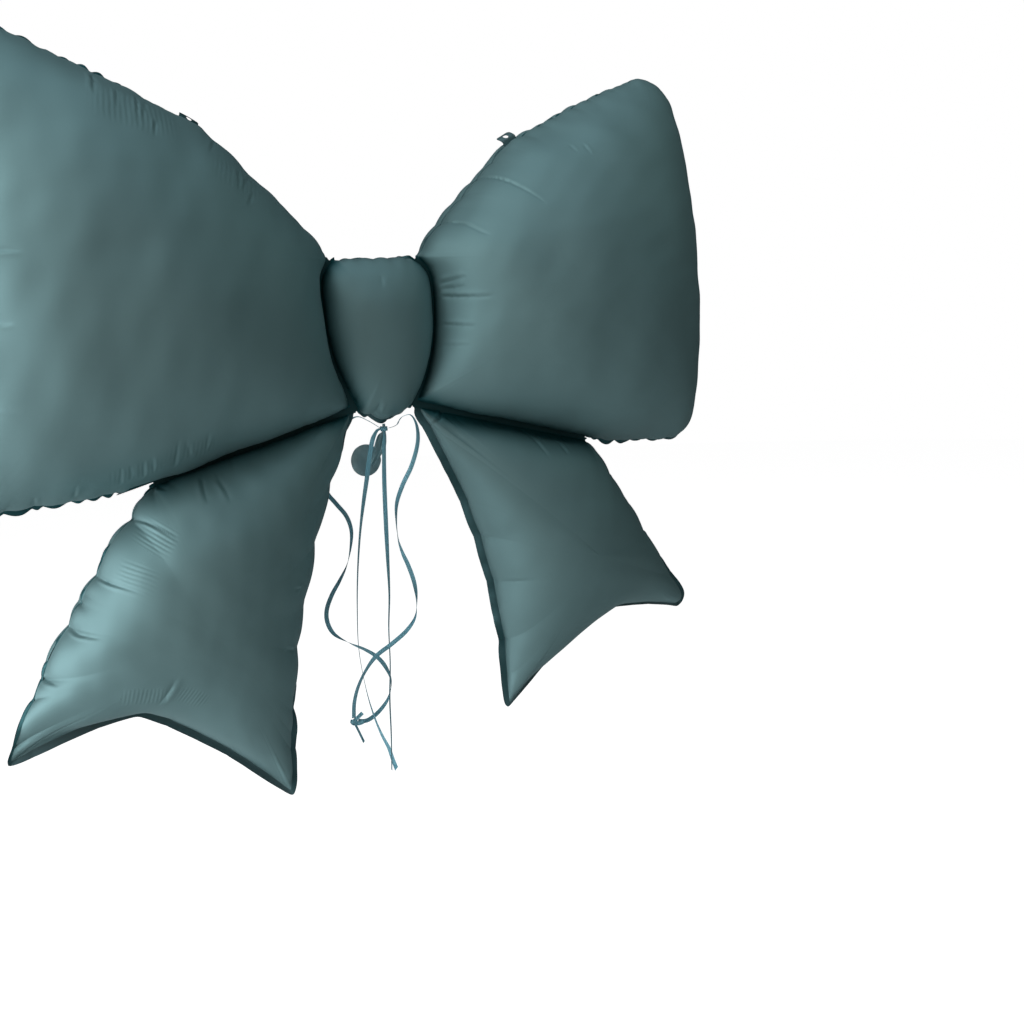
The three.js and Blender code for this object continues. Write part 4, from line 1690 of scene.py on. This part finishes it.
@dataclass
class RibbonTie:
    """The ribbon wound round the neck, with its small knot in front."""

    centre: Point3 = (-0.003, 0.0, -0.1095)

    def pieces(self) -> bpy.types.Object:
        """All windings as one object."""
        x, y, z = self.centre
        bands = [
            ring_band((x, y, z + 0.0012), (0.10, 0.15, 0.98), (0.0036, 0.0036), 0.0026, 0.0003, 6),
            ring_band((x, y, z - 0.0010), (-0.12, 0.05, 0.98), (0.0038, 0.0038), 0.0026, 0.0003, 7),
            ring_band((x, y, z), (0.18, -0.10, 0.98), (0.0043, 0.0042), 0.0024, 0.0004, 8),
            ring_band(
                (x - 0.0015, y - 0.0046, z - 0.0002), (0.95, 0.1, 0.3), (0.0017, 0.0019), 0.0034, 0.0003, 9
            ),
            ring_band(
                (x - 0.0008, y - 0.0048, z - 0.0004), (0.2, 0.3, 0.95), (0.0020, 0.0016), 0.0030, 0.0003, 10
            ),
        ]
        return joined_bands("tie_windings", bands)


def thickened(name: str, grid: Array, thickness: float, closed: bool) -> bpy.types.Object:
    """A thin solid piece of film from a grid of points.

    Args:
        name: the object's name.
        grid: rows by columns by x, y, z.
        thickness: the film's thickness.
        closed: whether the last column joins the first.

    Returns:
        The object.
    """
    rows, columns = grid.shape[:2]
    if closed:
        round_it = np.roll(grid, -1, axis=1) - np.roll(grid, 1, axis=1)
    else:
        round_it = np.gradient(grid, axis=1)
    normal = unit(np.cross(round_it, np.gradient(grid, axis=0)))
    points = np.concatenate([grid + normal * thickness / 2, grid - normal * thickness / 2])
    faces: list[tuple[int, ...]] = []
    spans = columns if closed else columns - 1
    under = rows * columns
    for i in range(rows - 1):
        for k in range(spans):
            n = (k + 1) % columns
            a, b, c, d = i * columns + k, i * columns + n, (i + 1) * columns + n, (i + 1) * columns + k
            faces += [(a, b, c, d), (under + d, under + c, under + b, under + a)]
    for k in range(spans):
        n = (k + 1) % columns
        last = (rows - 1) * columns
        faces += [(n, k, under + k, under + n), (last + k, last + n, under + last + n, under + last + k)]
    if not closed:
        for i in range(rows - 1):
            a, b = i * columns, (i + 1) * columns
            right_a, right_b = a + columns - 1, b + columns - 1
            faces += [(a, b, under + b, under + a), (right_b, right_a, under + right_a, under + right_b)]
    made = new_object(name, points.reshape(-1, 3), faces)
    form = bmesh.new()
    form.from_mesh(made.data)
    bmesh.ops.remove_doubles(form, verts=form.verts, dist=1e-6)
    bmesh.ops.recalc_face_normals(form, faces=form.faces)
    form.to_mesh(made.data)
    form.free()
    made.data.set_sharp_from_angle(angle=THIN_SHARP)
    return made


@dataclass
class HangTab:
    """A small tab with a punched hole on the upper seam of a loop."""

    side: Side
    lean: float
    curl: float
    hole_place: Point2 = (0.18200, 0.21439)
    along: Point2 = (0.8814, 0.4723)
    turn: float = 0.0
    half_width: float = 0.0098
    height: float = 0.0102
    foot: float = 0.006
    corner: float = 0.0036
    hole_radius: float = 0.0029
    hole_height: float = 0.0049
    thickness: float = 0.0006
    columns: int = 96
    rows: int = 9

    # How closely the rows lie round the hole, and how early the tab bends
    ROW_CROWDING = 1.2
    BEND_EASE = 0.5

    def outline(self, angle: Array) -> Array:
        """The tab's rounded outline seen from the hole, at each angle."""
        low, high = -self.foot - self.hole_height, self.height - self.hole_height
        ray = np.stack([np.cos(angle), np.sin(angle)], axis=-1)
        far = np.full(len(angle), 1.0)
        for axis, limit in ((0, self.half_width), (0, -self.half_width), (1, high), (1, low)):
            share = limit / np.where(np.abs(ray[:, axis]) < 1e-9, 1e-9, ray[:, axis])
            far = np.where(share > 0, np.minimum(far, share), far)
        points = ray * far[:, None]
        for sign in (-1, 1):
            middle = np.array([sign * (self.half_width - self.corner), high - self.corner])
            beyond = (points[:, 0] * sign > middle[0] * sign) & (points[:, 1] > middle[1])
            along = ray @ middle
            reach = along + np.sqrt(np.maximum(along**2 - middle @ middle + self.corner**2, 0))
            points = np.where(beyond[:, None], ray * reach[:, None], points)
        return points

    def piece(self) -> bpy.types.Object:
        """The tab's object."""
        angle = np.linspace(0, 2 * math.pi, self.columns, endpoint=False)
        outer = self.outline(angle)
        inner = np.stack([np.cos(angle), np.sin(angle)], axis=-1) * self.hole_radius
        share = (np.linspace(0, 1, self.rows) ** self.ROW_CROWDING)[:, None, None]
        flat = inner * (1 - share) + outer * share
        across, up = flat[..., 0], flat[..., 1] + self.hole_height
        bend = math.radians(self.lean) * np.clip(up / self.height, 0, 1) ** self.BEND_EASE
        rise = np.where(up > 0, up * np.cos(bend), up)
        back = np.where(up > 0, up * np.sin(bend), 0) + self.curl * (across / self.half_width) ** 2
        along = np.array([self.along[0], self.along[1]])
        outward = left_of(along)
        foot = np.array(self.hole_place) - outward * self.hole_height
        across = across + math.tan(math.radians(self.turn)) * np.maximum(rise, 0)
        place = foot + across[..., None] * along + rise[..., None] * outward
        grid = np.stack([place[..., 0] * self.side.value, back, place[..., 1]], axis=-1)
        return thickened(f"{self.side.name.lower()}_tab_film", grid, self.thickness, closed=True)


@dataclass
class FillingNeck:
    """The gathered film strip below the knot, and the disc at its end."""

    left: tuple[Point2, ...] = (
        (-0.0045, -0.1040), (-0.0045, -0.1120), (-0.0105, -0.1165), (-0.0150, -0.1260), (-0.0185, -0.1370),
        (-0.0235, -0.1470),
    )
    right: tuple[Point2, ...] = (
        (-0.0012, -0.1040), (-0.0012, -0.1120), (-0.0006, -0.1200), (-0.0022, -0.1300), (-0.0095, -0.1405),
        (-0.0185, -0.1515),
    )
    disc_centre: Point3 = (-0.027, 0.0023, -0.143)
    disc_radius: float = 0.018
    thickness: float = 0.0005
    disc_thickness: float = 0.0006

    # The strip's pleats: how many waves and finer folds lie across, their height, and its end's set-back
    WAVES = 1.9
    FINE_FOLDS = 4.3
    PLEAT_HEIGHT = 0.0014
    SET_BACK = 0.0016
    # The disc's unevenness, the height and spacing of its rings, and its rim's puckers
    UNEVENNESS = 0.0007
    RING_HEIGHT = 0.00035
    RING_SPACING = 0.0035
    PUCKER_HEIGHT = 0.0003
    PUCKERS = 9

    def strip(self) -> bpy.types.Object:
        """The gathered strip with its pleats."""
        s = np.linspace(0, 1, 60)
        left = cubic_rows(np.array(self.left), s * (len(self.left) - 1), closed=False)
        right = cubic_rows(np.array(self.right), s * (len(self.right) - 1), closed=False)
        t = np.linspace(0, 1, 33)
        flat = left[:, None] * (1 - t)[None, :, None] + right[:, None] * t[None, :, None]
        pleat = np.clip((s - 0.12) * 3, 0.25, 1) * (1 - 0.55 * s)
        wave = np.sin(2 * math.pi * (self.WAVES * t[None] + 0.15 * s[:, None]) + 0.6)
        fold = 0.5 * np.sin(2 * math.pi * (self.FINE_FOLDS * t[None] - 0.3 * s[:, None]))
        y = self.PLEAT_HEIGHT * pleat[:, None] * (wave + fold) + self.SET_BACK * s[:, None] ** 2
        grid = np.stack([flat[..., 0], y, flat[..., 1]], axis=-1)
        return thickened("neck_film", grid, self.thickness, closed=False)

    def disc(self) -> bpy.types.Object:
        """The flat round disc with its welded rim."""
        angle = np.linspace(0, 2 * math.pi, 96, endpoint=False)
        radius = self.disc_radius * np.linspace(0, 1, 19)
        x, z = radius[:, None] * np.cos(angle), radius[:, None] * np.sin(angle)
        rings = self.RING_HEIGHT * np.cos(radius / self.RING_SPACING)
        y = self.UNEVENNESS * np.sin(x * 190 + 1) * np.cos(z * 150) + rings[:, None]
        pucker = self.PUCKER_HEIGHT * np.sin(self.PUCKERS * angle)
        y = y + pucker[None] * (radius / self.disc_radius)[:, None] ** 4
        grid = np.stack([x, y, z], axis=-1) + np.array(self.disc_centre)
        return thickened("neck_disc", grid, self.disc_thickness, closed=True)


@dataclass
class WeldStrip:
    """The flat weld between two chambers, where the bow flexes."""

    name: str
    line: Array
    side: Side
    bodies: tuple[str, str]
    start: Point3
    end: Point3
    half_width: float = 0.0046
    thickness: float = 0.0011
    step: float = 0.0015

    def piece(self) -> bpy.types.Object:
        """The strip's object, bending between its two chambers."""
        ends = np.linalg.norm(np.diff(self.line, axis=0), axis=1)
        run = np.concatenate([[0.0], np.cumsum(ends)])
        at = np.linspace(0, run[-1], int(run[-1] / self.step))
        flat = np.stack([np.interp(at, run, self.line[:, k]) for k in range(2)], axis=-1)
        line = np.stack([flat[:, 0] * self.side.value, np.zeros(len(at)), flat[:, 1]], axis=-1)
        tangent = unit(np.gradient(line, axis=0))
        across = np.cross(tangent, (0.0, 1.0, 0.0))
        sections = band_sections(line, across, np.full(len(at), 2 * self.half_width), self.thickness, 0.0)
        strip = joined_bands(self.name, [(sections, False)])
        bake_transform(strip, *self.bodies, start=self.start, end=self.end)
        return strip


@dataclass
class StudioCamera:
    """The camera that sees the bow as the photograph does."""

    place: Point3 = (-0.46427, -1.03916, -0.00416)
    azimuth: float = 30.954
    elevation: float = -10.516
    roll: float = -3.302
    focal_pixels: float = 1000.0
    image_pixels: float = 1024.0
    sensor: float = 36.0

    def make(self) -> bpy.types.Object:
        """Adds the camera and makes it the scene's own."""
        azimuth, elevation, roll = (math.radians(a) for a in (self.azimuth, self.elevation, self.roll))
        forward = Vector(
            (
                math.sin(azimuth) * math.cos(elevation),
                math.cos(azimuth) * math.cos(elevation),
                math.sin(elevation),
            )
        )
        level = Vector((math.cos(azimuth), -math.sin(azimuth), 0.0))
        right = level * math.cos(roll) + level.cross(forward) * math.sin(roll)
        up = right.cross(forward)
        data = bpy.data.cameras.new("photo_camera")
        data.sensor_width = self.sensor
        data.lens = self.focal_pixels / self.image_pixels * self.sensor
        data.clip_start = 0.05
        camera = bpy.data.objects.new("photo_camera", data)
        turn = Matrix((right, up, -forward)).transposed().to_4x4()
        camera.matrix_world = Matrix.Translation(self.place) @ turn
        bpy.context.scene.collection.objects.link(camera)
        bpy.context.scene.camera = camera
        return camera


@dataclass(frozen=True)
class SoftLamp:
    """One large soft lamp that shines on the balloon's middle.

    Towards is the direction from the balloon to the lamp, and tint its colour.
    """

    name: str
    towards: Point3
    power: float
    tint: Point3
    distance: float = 2.6
    size: float = 2.2
    aim: Point3 = (-0.03, 0.0, -0.1)

    def make(self) -> None:
        """Adds the lamp."""
        data = bpy.data.lights.new(self.name, "AREA")
        data.shape = "SQUARE"
        data.size = self.size
        data.energy = self.power
        data.color = self.tint
        lamp = bpy.data.objects.new(self.name, data)
        aim = Vector(self.aim)
        lamp.location = aim + Vector(self.towards).normalized() * self.distance
        lamp.rotation_mode = "QUATERNION"
        lamp.rotation_quaternion = (aim - lamp.location).to_track_quat("-Z", "Y")
        bpy.context.scene.collection.objects.link(lamp)


LAMPS = (
    SoftLamp("window", (-1.0, 0.0, 0.0), 45.0, (0.96, 0.98, 1.0)),
    SoftLamp("upper_window", (-0.75, -0.35, 0.6), 25.0, (0.96, 1.0, 1.0)),
    SoftLamp("ceiling", (0.0, -0.15, 1.0), 11.0, (0.76, 0.92, 1.0)),
    SoftLamp("front_fill", (0.0, -0.75, 0.66), 3.2, (0.80, 0.90, 1.0)),
    SoftLamp("left_fill", (-0.35, -0.94, 0.0), 2.6, (1.0, 0.72, 0.56)),
    SoftLamp("right_fill", (0.7, -0.35, 0.5), 3.2, (0.78, 1.0, 0.92)),
)


@dataclass
class Studio:
    """The plain pale floor, the white backdrop and the soft light."""

    floor_z: float = -1.25
    floor_radius: float = 9.0
    floor_colour: Colour = srgb(240, 240, 240)
    floor_glow: float = 0.96
    backdrop: float = 1.0
    ambient: float = 0.028

    def floor(self) -> bpy.types.Object:
        """The round floor far below the balloon."""
        mesh = bpy.data.meshes.new("floor")
        form = bmesh.new()
        bmesh.ops.create_circle(form, cap_ends=True, radius=self.floor_radius, segments=96)
        form.to_mesh(mesh)
        form.free()
        made = bpy.data.objects.new("floor", mesh)
        made.location.z = self.floor_z
        material = bpy.data.materials.new("pale_floor")
        material.use_nodes = True
        surface = material.node_tree.nodes["Principled BSDF"]
        surface.inputs["Base Color"].default_value = self.floor_colour
        surface.inputs["Roughness"].default_value = 0.9
        surface.inputs["Emission Color"].default_value = (1.0, 1.0, 1.0, 1.0)
        shader = Shader(material.node_tree)
        seen = shader.node("ShaderNodeLightPath").outputs["Is Camera Ray"]
        shader.link(shader.math("MULTIPLY", seen, self.floor_glow), surface.inputs["Emission Strength"])
        mesh.materials.append(material)
        bpy.context.scene.collection.objects.link(made)
        return made

    def sky(self) -> None:
        """Faint even light from all round, behind a plain white backdrop."""
        world = bpy.data.worlds.new("studio")
        bpy.context.scene.world = world
        world.use_nodes = True
        shader = Shader(world.node_tree)
        base = world.node_tree.nodes["Background"]
        seen = shader.node("ShaderNodeLightPath").outputs["Is Camera Ray"]
        faint, white = ((level,) * 3 + (1.0,) for level in (self.ambient, self.backdrop))
        shader.link(shader.blend(seen, faint, white), base.inputs["Color"])

    def make(self) -> None:
        """Adds the floor and all the light."""
        self.floor()
        self.sky()
        for lamp in LAMPS:
            lamp.make()
        bpy.context.scene.view_settings.view_transform = "Standard"


KNOT_CREASES = (
    Crease(((-0.015, -0.080), (-0.015, -0.089), (-0.003, -0.095)), 0.0020, 0.0022),
    Crease(((-0.006, 0.056), (-0.008, 0.044)), 0.0005, 0.003),
)
RIGHT_LOOP_CREASES = (
    Crease(((0.137, 0.164), (0.147, 0.156), (0.161, 0.142), (0.175, 0.127)), 0.0018, 0.0018, ledge=0.2),
    Crease(((0.087, 0.114), (0.096, 0.111), (0.105, 0.101), (0.114, 0.094)), 0.0015, 0.0018, ledge=0.2),
    Crease(((0.071, 0.047), (0.078, 0.050), (0.087, 0.053)), 0.0018, 0.0024),
    Crease(((0.072, 0.041), (0.086, 0.043)), 0.0014, 0.0022),
    Crease(((0.071, 0.033), (0.084, 0.031), (0.107, 0.029)), 0.0022, 0.0021),
    Crease(((0.070, 0.002), (0.091, -0.002)), 0.0018, 0.0020),
    Crease(((0.068, -0.021), (0.086, -0.023)), 0.0010, 0.0020),
    Crease(((0.239, 0.193), (0.244, 0.182)), 0.0007, 0.0018),
    Crease(((0.225, 0.193), (0.229, 0.186)), 0.0006, 0.0018),
)
LEFT_LOOP_CREASES = (
    Crease(((0.275, 0.238), (0.282, 0.216)), 0.0014, 0.0020),
    Crease(((0.259, 0.222), (0.264, 0.205)), 0.0006, 0.0018),
    Crease(((0.241, 0.218), (0.250, 0.190)), 0.0007, 0.0018),
    Crease(((0.235, 0.214), (0.244, 0.193)), 0.0006, 0.0018),
    Crease(((0.230, 0.196), (0.236, 0.182)), 0.0008, 0.0018),
    Crease(((0.173, 0.184), (0.184, 0.171)), 0.0006, 0.0018),
    Crease(((0.157, 0.156), (0.165, 0.135)), 0.0007, 0.0018),
    Crease(((0.150, 0.148), (0.159, 0.136)), 0.0006, 0.0018),
    Crease(((0.149, 0.133), (0.157, 0.121)), 0.0007, 0.0018),
    Crease(((0.392, 0.083), (0.375, 0.082), (0.361, 0.081)), 0.0015, 0.0020),
    Crease(((0.396, 0.024), (0.382, 0.022), (0.375, 0.020)), 0.0013, 0.0020),
    Crease(((0.400, -0.050), (0.391, -0.052), (0.375, -0.054)), 0.0008, 0.0022),
    Crease(((0.296, -0.130), (0.298, -0.115)), 0.0008, 0.0018),
    Crease(((0.286, -0.125), (0.289, -0.112)), 0.0007, 0.0018),
    Crease(((0.275, -0.125), (0.278, -0.109)), 0.0008, 0.0018),
    Crease(((0.267, -0.118), (0.271, -0.105)), 0.0007, 0.0018),
    Crease(((0.246, -0.117), (0.246, -0.092)), 0.0009, 0.0018),
    Crease(((0.231, -0.111), (0.239, -0.093)), 0.0008, 0.0018),
    Crease(((0.216, -0.103), (0.216, -0.089)), 0.0007, 0.0018),
    Crease(((0.371, -0.143), (0.372, -0.134)), 0.0010, 0.0018),
    Crease(((0.337, -0.137), (0.337, -0.125)), 0.0009, 0.0018),
)
LEFT_LOOP_RIDGES = (
    RidgeBand((0.248, 0.203), (0.25, -0.97), 0.034, 0.056, 0.0046, 0.5),
    RidgeBand((0.160, 0.148), (0.36, -0.93), 0.026, 0.040, 0.0048, 0.45),
    RidgeBand((0.283, -0.119), (0.16, 0.99), 0.016, 0.036, 0.0044, 0.6),
    RidgeBand((0.232, -0.104), (0.05, 1.00), 0.016, 0.034, 0.0044, 0.6),
)
LEFT_TAIL_CREASES = (
    Crease(
        ((0.286, -0.170), (0.279, -0.172), (0.271, -0.175), (0.262, -0.181), (0.254, -0.187)), 0.0018, 0.0015
    ),
    Crease(
        ((0.322, -0.223), (0.317, -0.226), (0.309, -0.229), (0.301, -0.232), (0.290, -0.236)), 0.0018, 0.0015
    ),
    Crease(((0.354, -0.269), (0.348, -0.273), (0.332, -0.275)), 0.0016, 0.0015),
    Crease(((0.385, -0.315), (0.372, -0.319)), 0.0014, 0.0015),
    Crease(((0.286, -0.347), (0.278, -0.333), (0.273, -0.322)), 0.0016, 0.0024),
    Crease(((0.136, -0.262), (0.143, -0.259)), 0.0010, 0.0018),
    Crease(((0.144, -0.330), (0.157, -0.323)), 0.0010, 0.0018),
    Crease(((0.217, -0.137), (0.219, -0.148), (0.219, -0.158)), 0.0013, 0.0024),
    Crease(((0.202, -0.138), (0.199, -0.148), (0.197, -0.159)), 0.0012, 0.0024),
    Crease(((0.258, -0.141), (0.250, -0.145)), 0.0010, 0.0020),
)
RIGHT_TAIL_CREASES = (
    Crease(((0.056, -0.110), (0.069, -0.099), (0.078, -0.094)), 0.0024, 0.0020),
    Crease(((0.107, -0.251), (0.117, -0.251)), 0.0014, 0.0020),
    Crease(((0.129, -0.308), (0.143, -0.306), (0.170, -0.304)), 0.0006, 0.0026),
    Crease(((0.131, -0.385), (0.138, -0.385)), 0.0014, 0.0020),
    Crease(((0.177, -0.130), (0.180, -0.145), (0.184, -0.160)), 0.0011, 0.0026),
    Crease(((0.213, -0.142), (0.214, -0.154), (0.214, -0.161)), 0.0010, 0.0024),
    Crease(((0.297, -0.194), (0.286, -0.197)), 0.0014, 0.0024),
    Crease(((0.350, -0.278), (0.338, -0.281)), 0.0012, 0.0024),
)
LEFT_TAIL_RIDGES = (
    RidgeBand((0.270, -0.186), (0.77, 0.64), 0.030, 0.021, 0.0042),
    RidgeBand((0.293, -0.221), (0.88, 0.48), 0.030, 0.019, 0.0042),
    RidgeBand((0.302, -0.338), (-0.12, 0.99), 0.018, 0.030, 0.0037, 0.8),
    RidgeBand((0.258, -0.348), (-0.55, 0.83), 0.018, 0.022, 0.0035),
)


def chambers() -> list[Chamber]:
    """The five chambers of the bow."""
    made = [
        Chamber(
            "knot", "knot", 1, knot_cell(), KNOT_CENTRE, seed=11, columns=512, rings=48, shade=1.6,
            creases={Face.FRONT: KNOT_CREASES},
        )
    ]
    loop_folds = {Side.LEFT: LEFT_LOOP_CREASES, Side.RIGHT: RIGHT_LOOP_CREASES}
    tail_folds = {Side.LEFT: LEFT_TAIL_CREASES, Side.RIGHT: RIGHT_TAIL_CREASES}
    other = {Side.LEFT: Side.RIGHT, Side.RIGHT: Side.LEFT}
    for side, cut in CUTS.items():
        word = side.name.lower()
        made.append(
            Chamber(
                f"{word}_loop", f"{word}_loop", side.value, loop_cell(cut), LOOP_CENTRE,
                seed=20 + side.value, columns=1152, rings=72, liveliness=0.8,
                creases={Face.FRONT: loop_folds[side], Face.BACK: loop_folds[other[side]]},
                ridges={Face.FRONT if side is Side.LEFT else Face.BACK: LEFT_LOOP_RIDGES},
            )
        )
        made.append(
            Chamber(
                f"{word}_tail", f"{word}_tail", side.value, tail_cell(cut), TAIL_CENTRE,
                seed=30 + side.value, columns=1024, rings=64, seam_width=0.009,
                liveliness=1.0 if side is Side.LEFT else 0.7,
                creases={Face.FRONT: tail_folds[side], Face.BACK: tail_folds[other[side]]},
                ridges={Face.FRONT if side is Side.LEFT else Face.BACK: LEFT_TAIL_RIDGES},
            )
        )
    return made


# How far the knot's weld strips run on below the crease, and how far the tails' end before the hinge does
WELD_BEYOND = 0.0035
WELD_SHORT = 0.006
# How far above and below the hinge the tail's bend is spread, and from where to where along X the loop's
HINGE_BLEND = 0.007
KNOT_BLEND: Point2 = (0.050, 0.064)


def weld_strips() -> list[WeldStrip]:
    """The four welds between chambers."""
    crease = bowed_line(CREASE).points
    crease = np.vstack([crease, crease[-1] + unit(crease[-1] - crease[-2]) * WELD_BEYOND])
    made = []
    for side, cut in CUTS.items():
        word = side.name.lower()
        sign = side.value
        hinge = np.array([hinge_at(cut, 0.0), hinge_at(cut, -WELD_SHORT)])
        down = unit(left_of(hinge[0] - hinge[1])) * HINGE_BLEND
        middle = hinge.mean(axis=0)
        spread = [(sign * float(x), 0.0, float(z)) for x, z in (middle - down, middle + down)]
        beside = [(sign * x, 0.0, 0.0) for x in KNOT_BLEND]
        made += [
            WeldStrip(f"{word}_knot_weld", crease, side, ("knot", f"{word}_loop"), *beside),
            WeldStrip(f"{word}_tail_weld", hinge, side, (f"{word}_loop", f"{word}_tail"), *spread),
        ]
    return made


def hang_ribbons() -> None:
    """Adds the four free ribbons and the knot in which two of them end."""
    finish = RIBBON.material()
    knot = RibbonKnot().pieces()
    dress(knot, "knot", "ribbon", finish)
    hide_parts("ribbon_knot")
    nodes = ("ribbon_straight", "ribbon_curled", "ribbon_right", "ribbon_left")
    for ribbon, node in zip(RIBBONS, nodes):
        line = ribbon.line()
        band = ribbon.band()
        dress(band, "knot", "ribbon", finish)
        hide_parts(node)


def add_chambers() -> None:
    """Adds the ten film sheets with their margins, and the welds between chambers."""
    for chamber in chambers():
        for face in Face:
            film = chamber.film(face)
            dress(film, chamber.body, "foil", FOIL.material(), SEAM.material())
            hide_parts(f"{chamber.name}_{face.name.lower()}")
    for weld in weld_strips():
        # The welds get the dark film as painted shade for the valleys that they lie in
        dress(weld.piece(), weld.bodies[0], "seam_film", SHADOW_FILM.material())


def add_fittings() -> None:
    """Adds the hang tabs, the filling neck, its disc and the tie."""
    # The left tab gets the dark film as painted shade, the right one the margin's own film
    tabs = (
        (HangTab(Side.LEFT, lean=50, curl=0.0012), SHADOW_FILM),
        (HangTab(Side.RIGHT, lean=50, curl=0.0008, turn=-18.0), SEAM),
    )
    for tab, finish in tabs:
        word = tab.side.name.lower()
        piece = tab.piece()
        dress(piece, f"{word}_loop", "seam_film", finish.material())
        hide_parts(f"{word}_hang_tab")
    neck = FillingNeck()
    strip, disc = neck.strip(), neck.disc()
    # The neck and its disc get the lighter film as painted light
    dress(strip, "knot", "seam_film", NECK_PAINTED_LIGHT.material())
    dress(disc, "knot", "seam_film", NECK_PAINTED_LIGHT.material())
    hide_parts("filling_neck")
    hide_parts("filling_disc")
    tie = RibbonTie().pieces()
    dress(tie, "knot", "ribbon", RIBBON.material())
    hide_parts("ribbon_tie")


def main() -> None:
    """Builds the scene: camera, ribbons, studio and every other piece of the balloon."""
    logging.basicConfig(level=logging.INFO, format="%(name)s %(message)s")
    StudioCamera().make()
    hang_ribbons()
    Studio().make()
    add_chambers()
    add_fittings()


if __name__ == "__main__":
    main()
